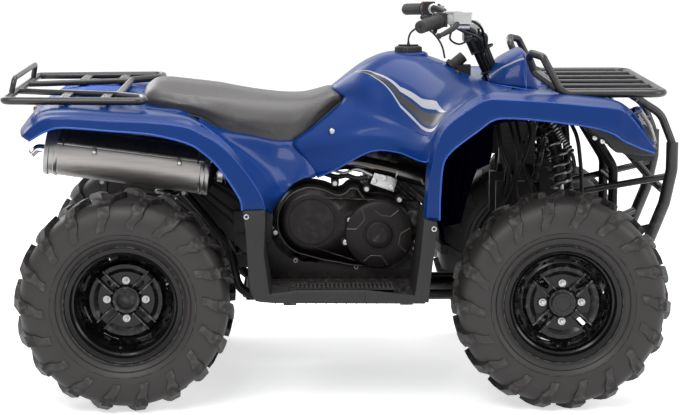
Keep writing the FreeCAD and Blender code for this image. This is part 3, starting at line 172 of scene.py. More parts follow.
class Shape:
    """The faces of one piece, each with the number of its finish."""

    def __init__(self):
        self.mesh = bmesh.new()

    def add(self, points, loops, material=0):
        """Faces over a list of points."""
        made = [self.mesh.verts.new(p) for p in points]
        for loop in loops:
            if len(set(loop)) > 2:
                face = self.mesh.faces.new([made[i] for i in loop])
                face.material_index = material
        return made

    def grid(self, rows, round_rows=False, round_columns=False, caps=False, material=0):
        """Faces between rows of points."""
        width = len(rows[0])
        loops = []
        for r in range(len(rows) if round_rows else len(rows) - 1):
            here, there = r * width, (r + 1) % len(rows) * width
            for c in range(width if round_columns else width - 1):
                across = (c + 1) % width
                loops.append((here + c, here + across, there + across, there + c))
        if caps:
            loops.append(tuple(range(width))[::-1])
            loops.append(tuple(range((len(rows) - 1) * width, len(rows) * width)))
        return self.add([p for row in rows for p in row], loops, material)

    def tube(self, line, radius, sides=14, material=0, closed=False):
        """A round bar along a line; radius is one number or one for each point."""
        line = [Vector(p) for p in line]
        radii = radius if isinstance(radius, (list, tuple)) else [radius] * len(line)
        side = None
        rows = []
        for i, point in enumerate(line):
            before = line[i - 1] if i or closed else line[0]
            after = line[(i + 1) % len(line)] if i + 1 < len(line) or closed else line[-1]
            along = (after - before).normalized()
            side = ends_of(along)[0] if side is None else (side - along * side.dot(along)).normalized()
            up = along.cross(side)
            rows.append([point + (side * cos(a) + up * sin(a)) * radii[i]
                for a in (TURN * k / sides for k in range(sides))])
        self.grid(rows, round_rows=closed, round_columns=True, caps=not closed, material=material)

    def rod(self, start, end, radius, end_radius=None, sides=20, material=0):
        """A straight round bar or cone."""
        last = radius if end_radius is None else end_radius
        self.tube([start, end], [radius, last], sides, material)

    def turned(self, centre, axis, profile, steps=48, material=0):
        """A profile of (distance along the axis, radius) in millimetres, turned round it."""
        self.spun(centre, axis, metres(profile), steps, material)

    def spun(self, centre, axis, profile, steps=48, material=0, closed=False, caps=False):
        """A profile in metres turned round an axis."""
        centre, axis = Vector(centre), Vector(axis).normalized()
        side, up = ends_of(axis)
        rows = [[centre + axis * along + (side * cos(a) + up * sin(a)) * radius
            for a in (TURN * k / steps for k in range(steps))] for along, radius in profile]
        self.grid(rows, round_rows=closed, round_columns=True, caps=caps, material=material)

    def take(self, other, bevel=0.0, segments=2):
        """Moves another shape's faces in, with its sharp edges rounded."""
        if bevel:
            sharp = [e for e in other.mesh.edges if e.is_manifold and e.calc_face_angle(0) > 0.5]
            bmesh.ops.bevel(other.mesh, geom=sharp, offset=bevel, segments=segments, affect="EDGES",
                profile=0.5, clamp_overlap=True)
        other.mesh.verts.index_update()
        points = [v.co.copy() for v in other.mesh.verts]
        made = [self.mesh.verts.new(p) for p in points]
        for face in other.mesh.faces:
            copy = self.mesh.faces.new([made[v.index] for v in face.verts])
            copy.material_index = face.material_index
        other.mesh.free()

    def block(self, low, high, bevel=0.003, material=0):
        """A box with rounded edges."""
        low, high = Vector(low), Vector(high)
        part = Shape()
        corners = [Vector((x, y, z)) for z in (low.z, high.z)
            for x, y in ((low.x, low.y), (high.x, low.y), (high.x, high.y), (low.x, high.y))]
        part.add(corners, BOX_FACES, material)
        self.take(part, bevel)

    def prism(self, outline, start, end, bevel=0.002, material=0):
        """An outline in x and z, made solid from one y to another."""
        part = Shape()
        count = len(outline)
        points = [(x, start, z) for x, z in outline] + [(x, end, z) for x, z in outline]
        loops = [tuple(range(count)), tuple(range(count, 2 * count))[::-1]]
        loops += [(i, i + count, (i + 1) % count + count, (i + 1) % count) for i in range(count)]
        part.add(points, loops, material)
        bmesh.ops.recalc_face_normals(part.mesh, faces=part.mesh.faces[:])
        self.take(part, bevel)

    def skin(self, stations, per_span=6, across=None, material=0):
        """A sheet through stations of control points."""
        across = across or per_span
        rows = [smooth_line(row, across) for row in stations]
        columns = [smooth_line(column, per_span) for column in zip(*rows)]
        self.grid(columns, material=material)
        return columns

    def bolt(self, place, axis, radius=0.006, height=0.005, material=0):
        """A hexagon head on a washer."""
        place, axis = Vector(place), Vector(axis).normalized()
        self.spun(place, axis, [(-0.002, radius * 1.5), (0.0012, radius * 1.5), (0.0018, radius * 1.3),
            (0.0018, 0.0001)], 20, material)
        part = Shape()
        part.spun(place, axis, [(-0.001, radius), (height, radius)], 6, material, caps=True)
        self.take(part, 0.0007, 1)

    def mirror(self):
        """The same again on the other side of the middle plane."""
        old = self.mesh.faces[:]
        made = {}
        for face in old:
            ring = []
            for v in face.verts:
                if v not in made:
                    made[v] = self.mesh.verts.new((v.co.x, -v.co.y, v.co.z))
                ring.append(made[v])
            copy = self.mesh.faces.new(ring[::-1])
            copy.material_index = face.material_index


def make_piece(name, shape, materials, replaces=(), body="chassis", crease=34,
        solid=0.0, weld=True, bevel=0.0):
    """Turns a shape into a named piece that rides on a body."""
    if weld:
        bmesh.ops.remove_doubles(shape.mesh, verts=shape.mesh.verts[:], dist=0.00002)
    bmesh.ops.recalc_face_normals(shape.mesh, faces=shape.mesh.faces[:])
    mesh = bpy.data.meshes.new(name)
    shape.mesh.to_mesh(mesh)
    shape.mesh.free()
    for material in materials:
        mesh.materials.append(finishes[material])
    mesh.shade_smooth()
    mesh.set_sharp_from_angle(angle=radians(crease))
    piece = bpy.data.objects.new(name, mesh)
    bpy.context.scene.collection.objects.link(piece)
    if solid:
        wall = piece.modifiers.new("wall", "SOLIDIFY")
        wall.thickness = solid
        wall.offset = 0
    if bevel:
        round_off = piece.modifiers.new("rounding", "BEVEL")
        round_off.width = bevel
        round_off.segments = 1
        round_off.limit_method = "ANGLE"
        round_off.angle_limit = radians(40)
        round_off.harden_normals = True
    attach(piece, body)
    if replaces:
        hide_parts(*replaces)
    return piece


# Finishes


def group_of(name, inputs, outputs):
    """A shader node group with its sockets, its input node and its output node."""
    tree = bpy.data.node_groups.new(name, "ShaderNodeTree")
    for label, default in inputs:
        socket = tree.interface.new_socket(label, in_out="INPUT", socket_type="NodeSocketFloat")
        socket.default_value = default
    for label in outputs:
        tree.interface.new_socket(label, in_out="OUTPUT", socket_type="NodeSocketFloat")
    return tree, tree.nodes.new("NodeGroupInput"), tree.nodes.new("NodeGroupOutput")


def place_in(tree):
    """The place on an object, in its own metres."""
    return tree.nodes.new("ShaderNodeTexCoord").outputs["Object"]


def feed(tree, socket, value):
    """Gives a socket a number or what another socket holds."""
    if isinstance(value, (int, float)):
        socket.default_value = value
    else:
        tree.links.new(value, socket)


def noise(tree, place, scale, detail=3.0):
    """A noise node read at a place."""
    node = tree.nodes.new("ShaderNodeTexNoise")
    node.inputs["Detail"].default_value = detail
    tree.links.new(place, node.inputs["Vector"])
    feed(tree, node.inputs["Scale"], scale)
    return node.outputs["Fac"]


def sum_of(tree, kind, one, two):
    """A math node on two sockets or numbers."""
    node = tree.nodes.new("ShaderNodeMath")
    node.operation = kind
    feed(tree, node.inputs[0], one)
    feed(tree, node.inputs[1], two)
    return node.outputs[0]


def spread(tree, value, low, high, to_low=0.0, to_high=1.0):
    """A value taken from one range to another and kept inside it."""
    node = tree.nodes.new("ShaderNodeMapRange")
    for label, number in (("From Min", low), ("From Max", high), ("To Min", to_low), ("To Max", to_high)):
        node.inputs[label].default_value = number
    tree.links.new(value, node.inputs["Value"])
    return node.outputs["Result"]


def build_groups():
    """The effects that several finishes share."""
    tree, given, made = group_of("Moulded grain",
        [("Fine scale", 900.0), ("Broad scale", 6.0)], ["Height", "Tone"])
    place = place_in(tree)
    fine = noise(tree, place, given.outputs["Fine scale"], 2.0)
    broad = noise(tree, place, given.outputs["Broad scale"], 4.0)
    tree.links.new(fine, made.inputs["Height"])
    tree.links.new(sum_of(tree, "ADD", sum_of(tree, "MULTIPLY", broad, 0.7),
        sum_of(tree, "MULTIPLY", fine, 0.3)), made.inputs["Tone"])

    tree, given, made = group_of("Dust", [("Scale", 14.0), ("Amount", 0.3)], ["Mask"])
    place = place_in(tree)
    facing = tree.nodes.new("ShaderNodeSeparateXYZ")
    tree.links.new(tree.nodes.new("ShaderNodeNewGeometry").outputs["Normal"], facing.inputs[0])
    upward = spread(tree, facing.outputs["Z"], -0.2, 1.0, 0.25, 1.0)
    patch = spread(tree, noise(tree, place, given.outputs["Scale"], 6.0), 0.42, 0.72)
    tree.links.new(sum_of(tree, "MULTIPLY", sum_of(tree, "MULTIPLY", upward, patch),
        given.outputs["Amount"]), made.inputs["Mask"])

    # pointy edges turn lighter: partly wear, partly a painted highlight along the edges
    tree, given, made = group_of("Edge wear", [("Amount", 0.5), ("Break up", 60.0)], ["Mask"])
    place = place_in(tree)
    edge = spread(tree, tree.nodes.new("ShaderNodeNewGeometry").outputs["Pointiness"], 0.53, 0.62)
    rough = spread(tree, noise(tree, place, given.outputs["Break up"], 5.0), 0.45, 0.65)
    tree.links.new(sum_of(tree, "MULTIPLY", sum_of(tree, "MULTIPLY", edge, rough), given.outputs["Amount"]),
        made.inputs["Mask"])

    tree, given, made = group_of("Brushed streaks", [("Across", 260.0), ("Along", 4.0)], ["Height", "Tone"])
    place = place_in(tree)
    stretch = tree.nodes.new("ShaderNodeVectorMath")
    stretch.operation = "MULTIPLY"
    amounts = tree.nodes.new("ShaderNodeCombineXYZ")
    tree.links.new(given.outputs["Along"], amounts.inputs["X"])
    tree.links.new(given.outputs["Across"], amounts.inputs["Y"])
    tree.links.new(given.outputs["Across"], amounts.inputs["Z"])
    tree.links.new(place, stretch.inputs[0])
    tree.links.new(amounts.outputs[0], stretch.inputs[1])
    streak = noise(tree, stretch.outputs[0], 1.0, 3.0)
    tree.links.new(streak, made.inputs["Height"])
    tree.links.new(streak, made.inputs["Tone"])


# A grain group and its sockets for the fine and the broad scale
MOULDED = ("Moulded grain", "Fine scale", "Broad scale")
STREAKED = ("Brushed streaks", "Across", "Along")


def finish_of(name, colour, roughness, metallic=0.0, lighter=1.2, swing=0.08, fine=900.0,
        broad=6.0, bump=0.05, depth=0.0003, dust=0.0, dust_colour=(0.2, 0.175, 0.15), wear_and_highlight=0.0,
        wear_and_highlight_colour=(0.35, 0.35, 0.36), streaks=False, coat=0.0, coat_roughness=0.08, sheen=0.0,
        specular=0.5, orange_peel=0.0):
    """A finish with grain, dust, lighter edges that are partly wear and partly a painted highlight, or
    brushed streaks over a plain colour.
    """
    material = bpy.data.materials.new(name)
    material.use_nodes = True
    tree = material.node_tree
    shader = tree.nodes["Principled BSDF"]
    grain = tree.nodes.new("ShaderNodeGroup")
    kind, first, second = STREAKED if streaks else MOULDED
    grain.node_tree = bpy.data.node_groups[kind]
    grain.inputs[first].default_value = fine
    grain.inputs[second].default_value = broad
    tone = spread(tree, grain.outputs["Tone"], 0.3, 0.7)
    mix = tree.nodes.new("ShaderNodeMix")
    mix.data_type = "RGBA"
    tree.links.new(tone, mix.inputs["Factor"])
    mix.inputs["A"].default_value = (*(c / lighter for c in colour), 1)
    mix.inputs["B"].default_value = (*(min(1.0, c * lighter) for c in colour), 1)
    paint = mix.outputs["Result"]
    # the lighter edges stand for wear and also for a painted highlight along the edges
    for group, amount, shade in (("Edge wear", wear_and_highlight, wear_and_highlight_colour), ("Dust", dust, dust_colour)):
        if amount:
            node = tree.nodes.new("ShaderNodeGroup")
            node.node_tree = bpy.data.node_groups[group]
            node.inputs["Amount"].default_value = amount
            over = tree.nodes.new("ShaderNodeMix")
            over.data_type = "RGBA"
            tree.links.new(node.outputs["Mask"], over.inputs["Factor"])
            tree.links.new(paint, over.inputs["A"])
            over.inputs["B"].default_value = (*shade, 1)
            paint = over.outputs["Result"]
    tree.links.new(paint, shader.inputs["Base Color"])
    tree.links.new(spread(tree, grain.outputs["Tone"], 0.3, 0.7, max(0.02, roughness - swing),
        min(1.0, roughness + swing)), shader.inputs["Roughness"])
    relief = tree.nodes.new("ShaderNodeBump")
    relief.inputs["Strength"].default_value = bump
    relief.inputs["Distance"].default_value = depth
    tree.links.new(grain.outputs["Height"], relief.inputs["Height"])
    if orange_peel:
        ripple = tree.nodes.new("ShaderNodeBump")
        ripple.inputs["Strength"].default_value = orange_peel
        ripple.inputs["Distance"].default_value = 0.0006
        tree.links.new(noise(tree, place_in(tree), 55.0, 1.0), ripple.inputs["Height"])
        tree.links.new(relief.outputs["Normal"], ripple.inputs["Normal"])
        relief = ripple
    tree.links.new(relief.outputs["Normal"], shader.inputs["Normal"])
    for label, value in (("Metallic", metallic), ("Coat Weight", coat), ("Coat Roughness", coat_roughness),
            ("Sheen Weight", sheen), ("Specular IOR Level", specular)):
        shader.inputs[label].default_value = value
    material.diffuse_color = (*colour, 1)
    finishes[name] = material
    return material


def build_finishes(tint):
    """All finishes; colours that a user would change come from the settings."""
    finish_of("blue_plastic", tint.panel, 0.32, lighter=1.03, swing=0.03, fine=1400, bump=0.02, coat=0.16,
        orange_peel=0.04, dust=0.01, specular=0.1)
    # near black with no shine for the guards inside the front wheel arches: a painted shade
    finish_of("inner_plastic", tint.inner, 0.7, lighter=1.1, specular=0.0)
    finish_of("black_plastic", tint.black, 0.5, lighter=1.12, swing=0.06, fine=1500, bump=0.22, depth=0.0004,
        dust=0.04, specular=0.3)
    # a lighter blue for the beads along creases, edges and ribs: a painted highlight
    finish_of("panel_edge_painted_highlight", tuple(2.4 * c + 0.012 for c in tint.panel), 0.26, lighter=1.04, swing=0.03,
        bump=0.03, coat=0.2, specular=0.2)
    finish_of("cover_paint", (0.0125, 0.0104, 0.0098), 0.4, lighter=1.06, swing=0.02, fine=1500, bump=0.12,
        wear_and_highlight=0.6, wear_and_highlight_colour=(0.1, 0.095, 0.09), specular=0.18)
    finish_of("frame_paint", (0.007, 0.0066, 0.0066), 0.34, bump=0.08, dust=0.02, wear_and_highlight=0.3, specular=0.18)
    finish_of("rack_paint", tint.rack, 0.3, lighter=1.12, fine=1800, bump=0.14, dust=0.03, wear_and_highlight=0.25)
    finish_of("rim_paint", (0.004, 0.0038, 0.0038), 0.22, lighter=1.15, swing=0.05, dust=0.01, wear_and_highlight=0.3,
        coat=0.1, specular=0.22)
    # the lighter edges of the lugs and rings paint a highlight along them, partly wear as well
    finish_of("tyre", tint.rubber, 0.5, fine=700, broad=9, bump=0.16, dust=0.08,
        dust_colour=(0.1, 0.088, 0.076), wear_and_highlight=0.55, wear_and_highlight_colour=(0.13, 0.12, 0.11), specular=0.36)
    # a darker copy of the rubber for the block tops: painted shade where the tops face away from the light,
    # with lighter edges as painted highlight
    finish_of("tread", (0.0105, 0.0092, 0.0088), 0.46, lighter=1.25, fine=700, broad=9, bump=0.16, dust=0.04,
        dust_colour=(0.1, 0.088, 0.076), wear_and_highlight=0.9, wear_and_highlight_colour=(0.1, 0.092, 0.086), specular=0.3)
    finish_of("engine_alloy", (0.016, 0.015, 0.014), 0.44, metallic=0.1, fine=1300, bump=0.3, depth=0.0004,
        dust=0.06, wear_and_highlight=0.4, specular=0.3)
    finish_of("steel", (0.62, 0.62, 0.61), 0.22, metallic=1.0, lighter=1.1, swing=0.06)
    finish_of("silencer_steel", (0.34, 0.32, 0.31), 0.44, metallic=0.85, lighter=1.12, streaks=True,
        fine=320, broad=5, bump=0.12)
    # a lighter finish for the flange lines and ridges of the engine covers: a painted highlight
    finish_of("ridge_painted_highlight", (0.052, 0.047, 0.045), 0.34, specular=0.3)
    finish_of("pipe_steel", (0.1, 0.092, 0.086), 0.2, metallic=0.9, lighter=1.1, bump=0.03, swing=0.05)
    finish_of("shield", (0.016, 0.015, 0.015), 0.3, wear_and_highlight=0.5, coat=0.2, specular=0.35)
    finish_of("spring", (0.12, 0.12, 0.125), 0.26, metallic=0.8, lighter=1.15, bump=0.04, wear_and_highlight=0.2)
    finish_of("silver_spring", (0.3, 0.29, 0.285), 0.3, metallic=0.9, lighter=1.1, bump=0.04)
    finish_of("vinyl", tint.seat, 0.42, lighter=1.12, swing=0.05, fine=1100, broad=5, bump=0.35,
        depth=0.0005, sheen=0.08, dust=0.05)
    finish_of("soft_rubber", (0.01, 0.01, 0.01), 0.52, bump=0.2, fine=1500, specular=0.3)
    finish_of("grip_rubber", (0.02, 0.019, 0.019), 0.55, bump=0.3, fine=1800, specular=0.35)
    finish_of("grey_plastic", (0.24, 0.25, 0.26), 0.42, lighter=1.08, bump=0.1, dust=0.02)
    glass = finish_of("lens_glass", (0.1, 0.105, 0.115), 0.05, lighter=1.02, swing=0.02, bump=0.01)
    glass.node_tree.nodes["Principled BSDF"].inputs["Transmission Weight"].default_value = 1.0
    finish_of("lens_back", (0.006, 0.006, 0.007), 0.3, lighter=1.1, swing=0.04)
    finish_of("reflector", (0.1, 0.1, 0.11), 0.16, metallic=0.9, lighter=1.05, bump=0.03)
    finish_of("red_lens", (0.34, 0.008, 0.006), 0.12, lighter=1.15, coat=1.0, coat_roughness=0.04)
    finish_of("satin_silver", (0.46, 0.46, 0.46), 0.36, metallic=0.85, lighter=1.08, bump=0.12, fine=1600)
    finish_of("chrome", (0.8, 0.8, 0.8), 0.08, metallic=1.0, lighter=1.03, swing=0.02, bump=0.02)
    finish_of("stripe_grey", (0.3, 0.31, 0.33), 0.34, lighter=1.05, bump=0.02, coat=0.3)
    finish_of("stripe_dark", (0.02, 0.021, 0.024), 0.34, lighter=1.05, bump=0.02, coat=0.3, specular=0.3)


def dress_frame():
    """Gives finishes and rounded edges to the solids that stay in view."""
    given = {
        "frame_paint": ["frame_sides", "frame_crosses", "lower_arms", "upper_arms", "skid_plate",
                        "knuckle_left", "knuckle_right", "tie_rod_left", "tie_rod_right", "swingarm",
                        "rear_axle", "hitch_plate", "steering_column", "handlebar"],
        "rack_paint": ["rear_rack", "front_rack", "front_bumper"],
        "inner_plastic": ["front_mudguards"],
        "black_plastic": ["footwells", "front_panel", "footpegs"],
        "engine_alloy": ["engine"],
        "soft_rubber": ["control_cables"],
    }
    for finish, names in given.items():
        for name in names:
            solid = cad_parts[name]
            for index in range(len(solid.material_slots)):
                solid.material_slots[index].material = finishes[finish]
    for name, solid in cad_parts.items():
        soften(name, solid)
        if name in ROUNDED:
            edge = solid.modifiers.new("rounding", "BEVEL")
            edge.width = ROUNDED[name]
            edge.segments = 2
            edge.limit_method = "ANGLE"
            edge.angle_limit = radians(50)
            edge.harden_normals = True


class QUAD_OT_finishes(bpy.types.Operator):
    """Builds the finishes and gives them to the solids that stay in view"""

    bl_idname = "quad.finishes"
    bl_label = "Finishes"

    def execute(self, context):
        tint = context.scene.quad_colours
        build_groups()
        build_finishes(tint)
        dress_frame()
        return {"FINISHED"}


# How much the edges of a solid that stays in view are rounded
ROUNDED = {"footwells": 0.0035, "engine": 0.004, "swingarm": 0.003, "skid_plate": 0.002, "footpegs": 0.0012,
           "hitch_plate": 0.0015, "knuckle_left": 0.002, "knuckle_right": 0.002, "front_panel": 0.003}


def soften(name, solid):
    """Shades a solid of the frame smooth, with its real edges kept."""
    if solid.data.has_custom_normals:
        with bpy.context.temp_override(object=solid, active_object=solid, selected_objects=[solid]):
            bpy.ops.mesh.customdata_custom_splitnormals_clear()
    solid.data.shade_smooth()
    close = solid.modifiers.new("close", "WELD")
    close.merge_threshold = 0.00002
    if name not in ROUNDED:
        split = solid.modifiers.new("edges", "EDGE_SPLIT")
        split.split_angle = radians(32)


# Wheels


def tyre_profile(half, rim_half):
    """Half a tyre's outer line, from the middle of the tread to the bead, as (offset, radius)."""
    points = [(0, 0.2945, 0), (half - 0.06, 0.294, 0), (half - 0.033, 0.2895, 0), (half - 0.012, 0.275, 0),
        (half - 0.002, 0.252, 0), (half, 0.228, 0), (half - 0.006, 0.203, 0), (half - 0.018, 0.184, 0),
        (rim_half - 0.005, 0.1735, 0)]
    return [(p.x, p.y) for p in smooth_line(points, 4)]


def along_profile(profile, distance):
    """The place and the outward direction at a distance along the profile."""
    for one, two in zip(profile, profile[1:]):
        step = Vector((two[0] - one[0], two[1] - one[1]))
        if distance <= step.length:
            spot = Vector(one) + step * (distance / step.length)
            return spot, Vector((-step.y, step.x)).normalized()
        distance -= step.length
    return Vector(profile[-1]), Vector((1, 0))


def make_tyre(name, x, y, half, rim_half, body, node, sizes):
    """A tyre with chevron blocks that turn down over the shoulder."""
    shape = Shape()
    half -= 0.006
    profile = tyre_profile(half, rim_half)
    ring = [(-o, r) for o, r in profile[::-1]] + profile[1:]
    ring += [(rim_half - 0.006, 0.16), (rim_half - 0.014, 0.156), (-rim_half + 0.014, 0.156),
        (-rim_half + 0.006, 0.16)]
    shape.spun((x, y, WHEEL_Z), (0, 1, 0), ring, sizes.steps, closed=True)
    crown = half - 0.033
    wide = sizes.lug_width / 2
    tall = sizes.lug_height
    over = crown + 0.028
    # distance along the profile, angle, half width and height of each cut through a block
    cuts = [(0.004, 0.165, wide * 0.62, tall), (crown * 0.55, 0.105, wide * 0.66, tall),
        (crown * 0.92, 0.04, wide * 0.86, tall), (over - 0.006, 0.0, wide, tall * 0.95),
        (over + 0.014, -0.01, wide * 0.95, tall * 0.56), (over + 0.02, -0.018, wide * 0.8, tall * 0.42),
        (over + 0.036, -0.062, wide * 0.7, tall * 0.37), (over + 0.053, -0.084, wide * 0.66, tall * 0.36)]
    for mirror in (-1, 1):
        for number in range(sizes.lugs):
            start = TURN * (number + (0.5 if mirror > 0 else 0)) / sizes.lugs
            rows = []
            for distance, turn, width, height in cuts:
                spot, out = along_profile(profile, distance)
                row = []
                for rise, edge in ((-0.004, -1.04), (height, -0.93), (height, 0.93), (-0.004, 1.04)):
                    offset = (spot.x + out.x * rise) * mirror
                    radius = spot.y + out.y * rise
                    angle = start - turn + edge * width / radius
                    row.append(Vector((x + radius * cos(angle), y + offset, WHEEL_Z + radius * sin(angle))))
                rows.append(row)
            # the tops of the blocks take the darker tread finish, a painted shade
            shape.grid(rows[:5], round_columns=True, caps=True, material=1)
            shape.grid(rows[4:], round_columns=True, caps=True)
    for radius, size in ((0.187, 0.0016), (0.2035, 0.0012)):
        for mirror in (-1, 1):
            reach = max(o for o, r in profile if abs(r - radius) < 0.008)
            line = [Vector((x + radius * cos(a), y + mirror * (reach - 0.0008), WHEEL_Z + radius * sin(a)))
                for a in (TURN * k / 72 for k in range(72))]
            shape.tube(line, size, 6, closed=True)
    make_piece(name, shape, ["tyre", "tread"], [node], body=body, crease=32,
        weld=False, bevel=0.0014)


def circle(radius, steps, centre=(0, 0)):
    """Points round a circle in a plane."""
    return [(centre[0] + radius * cos(TURN * k / steps), centre[1] + radius * sin(TURN * k / steps))
        for k in range(steps)]


def arc_slot(low, high, start, end, steps=8):
    """A slot along a circle, between two radii and two angles."""
    middle, end_width = (low + high) / 2, (high - low) / 2
    past = end_width / middle * 0.9
    turns = [(high, start + (end - start) * k / steps) for k in range(steps + 1)]
    turns.append((middle, end + past))
    turns += [(low, end + (start - end) * k / steps) for k in range(steps + 1)]
    turns.append((middle, start - past))
    return [(radius * cos(a), radius * sin(a)) for radius, a in turns]


# The disc's height at a radius, in millimetres
DISC_STEPS = metres(((38, 0), (46, -10), (80, -10), (92, 0), (103, 0), (112, -16), (212, -66)))


def make_rim(name, x, y, half, recess, side, body, node, front):
    """A pressed steel rim: flange, barrel, pierced disc with four diagonal channels, and nuts."""
    shape = Shape()
    centre = Vector((x, y, WHEEL_Z))
    axis = Vector((0, side, 0))
    disc = half - recess
    opening = 0.134 if front else 0.138
    flange = [(half - 0.012, 0.1545), (half - 0.01, 0.162), (half - 0.003, 0.169), (half, 0.1695),
        (half + 0.0005, 0.167), (half - 0.003, 0.1645), (half - 0.006, 0.158), (half - 0.007, 0.152),
        (half - 0.013, 0.149), (half - 0.02, 0.146), (half - 0.024, 0.141), (half - 0.034, 0.1385)]
    barrel = [(disc + 0.012 if not front else half - 0.03, opening), (disc - 0.01, opening - 0.002),
        (-half + 0.045, 0.1325), (-half + 0.03, 0.146), (-half + 0.01, 0.15), (-half, 0.1665)]
    inner = [(-half - 0.0005, 0.17), (-half + 0.006, 0.164), (-half + 0.014, 0.155), (-half + 0.034, 0.1525),
        (-half + 0.05, 0.138), (half - 0.045, 0.14), (half - 0.03, 0.153)]
    shape.spun(centre, axis, flange + barrel + inner, 96, closed=True)

    def on_disc(a, b, deep):
        radius = hypot(a, b)
        wedge = abs(abs(a) - abs(b)) / sqrt(2)
        in_channel = wedge < 0.015 and 0.04 < radius < 0.101
        lift = -0.014 if in_channel else between(DISC_STEPS, radius)
        return Vector((x + a, y + side * (disc + lift - deep), WHEEL_Z + b))

    holes = [circle(0.031, 28)]
    slot_low, slot_high = (0.1175, 0.1235) if front else (0.119, 0.126)
    reach, long_half = (0.0745, 0.014) if front else (0.06, 0.009)
    for k in range(8):
        a = TURN * (k + 0.5) / 8
        holes.append(arc_slot(slot_low, slot_high, a - 0.19, a + 0.19, 6))
    for k in range(4):
        a = TURN * (k + 0.5) / 4
        along, across = Vector((cos(a), sin(a))), Vector((-sin(a), cos(a)))
        ring = []
        for t in range(10):
            b = TURN * t / 10
            stretch = long_half if cos(b) > 0 else -long_half
            p = along * (reach + cos(b) * 0.0055 + stretch) + across * sin(b) * 0.0058
            ring.append((p.x, p.y))
        holes.append(ring)
    outline = circle(0.1335, 72)
    rings = [circle(r, 56) for r in (0.112, 0.103, 0.092, 0.08, 0.046, 0.038)]
    for k in range(4):
        a = TURN * (k + 0.5) / 4
        for offset in (-0.0162, -0.0146, 0.0146, 0.0162):
            rings.append([(cos(a) * r - sin(a) * offset, sin(a) * r + cos(a) * offset)
                for r in (0.04 + 0.003 * t for t in range(21))])
    ringed_plate(shape, outline, holes, rings, on_disc, 0.006)
    for k in range(4):
        a = TURN * (k + 0.5) / 4
        turn = Matrix.Rotation(-a, 4, "Y")
        for edge in (-1, 1):
            rib = Shape()
            rib.block((0.04, -0.006, edge * 0.0135 - 0.0022), (0.104, 0.003, edge * 0.0135 + 0.0022), 0.0014)
            for v in rib.mesh.verts:
                v.co = turn @ v.co
                v.co = Vector((v.co.x + x, y + side * (disc + v.co.y), v.co.z + WHEEL_Z))
            shape.take(rib)
    for k in range(4):
        a = TURN * k / 4
        spot = Vector((x + 0.055 * cos(a), y + side * (disc - 0.01), WHEEL_Z + 0.055 * sin(a)))
        shape.turned(spot, axis, [(-2, 15.5), (3.5, 14), (3.5, 11.5), (1, 10.5)], 24)
        shape.bolt(spot, axis, 0.0078, 0.013, 1)
        shape.turned(spot, axis, [(12, 5.8), (16.5, 5.2), (18, 3.5), (18.2, 0.1)], 16, 1)
    hub = [(-20, 30.9), (4, 30.9), (4.5, 30), (4, 27.5), (-16, 26.5), (-17, 6), (-12, 5), (-12, 0.1)]
    if front:
        hub = [(-20, 30.9), (11, 30.9), (13.5, 29.5), (14, 22.5), (12, 21.5), (12, 0.1)]
    shape.turned(centre + axis * disc, axis, hub, 40, 2)
    stem = centre + axis * (half - 0.04) + Vector((-0.012, 0, -0.128))
    shape.rod(stem, stem + axis * 0.026 + Vector((0, 0, 0.006)), 0.004, 0.0034, 10, 2)
    make_piece(name, shape, ["rim_paint", "satin_silver", "black_plastic"],
        [node], body=body, crease=28)


def ringed_plate(shape, outline, holes, rings, height, thickness):
    """A pierced plate whose faces also follow rings inside it, so that its steps come out round."""
    def clear(point, hole):
        middle = (sum(p[0] for p in hole) / len(hole), sum(p[1] for p in hole) / len(hole))
        reach = max(dist(p, middle) for p in hole)
        near = min(dist(p, point) for p in hole)
        return dist(point, middle) > reach + 0.0005 or (reach > 0.02 and near > 0.004)

    extra = [p for ring in rings for p in ring if all(clear(p, hole) for hole in holes)]
    points = [Vector(p) for p in outline]
    edges = [(i, (i + 1) % len(outline)) for i in range(len(outline))]
    for hole in holes:
        first = len(points)
        points += [Vector(p) for p in hole]
        edges += [(first + i, first + (i + 1) % len(hole)) for i in range(len(hole))]
    points += [Vector(p) for p in extra]
    flat, _, faces, _, _, _ = delaunay_2d_cdt(points, edges, [], 2, 1e-6)

    def inside(p, ring):
        hit = False
        for a, b in zip(ring, ring[1:] + ring[:1]):
            if (a[1] > p[1]) != (b[1] > p[1]):
                if p[0] < (b[0] - a[0]) * (p[1] - a[1]) / (b[1] - a[1]) + a[0]:
                    hit = not hit
        return hit

    kept = []
    for face in faces:
        middle = sum((flat[i] for i in face), Vector((0, 0))) / len(face)
        if inside(middle, outline) and not any(inside(middle, hole) for hole in holes):
            kept.append(tuple(face))
    count = len(flat)
    both = [height(p.x, p.y, 0.0) for p in flat] + [height(p.x, p.y, thickness) for p in flat]
    loops = kept + [tuple(i + count for i in face[::-1]) for face in kept]
    sides = {(a, b) for face in kept for a, b in zip(face, face[1:] + face[:1])}
    loops += [(b, a, a + count, b + count) for a, b in sorted(sides) if (b, a) not in sides]
    shape.add(both, loops)


class QUAD_OT_wheels(bpy.types.Operator):
    """Builds the four tyres and rims"""

    bl_idname = "quad.wheels"
    bl_label = "Wheels"

    def execute(self, context):
        sizes = context.scene.quad_tyre
        for word, side in (("right", RIGHT), ("left", LEFT)):
            x, y = FRONT_WHEEL
            make_tyre(f"front_tread_{word}", x, side * y, 0.1025, 0.08, f"front_wheel_{word}",
                f"front_tyre_{word}", sizes)
            make_rim(f"front_pressed_rim_{word}", x, side * y, 0.0805, 0.024, side, f"front_wheel_{word}",
                f"front_rim_{word}", True)
            x, y = REAR_WHEEL
            make_tyre(f"rear_tread_{word}", x, side * y, 0.127, 0.1, "rear_wheels", "rear_tyres", sizes)
            make_rim(f"rear_pressed_rim_{word}", x, side * y, 0.1005, 0.084, side,
                "rear_wheels", "rear_rims", False)
        return {"FINISHED"}


# Body panels


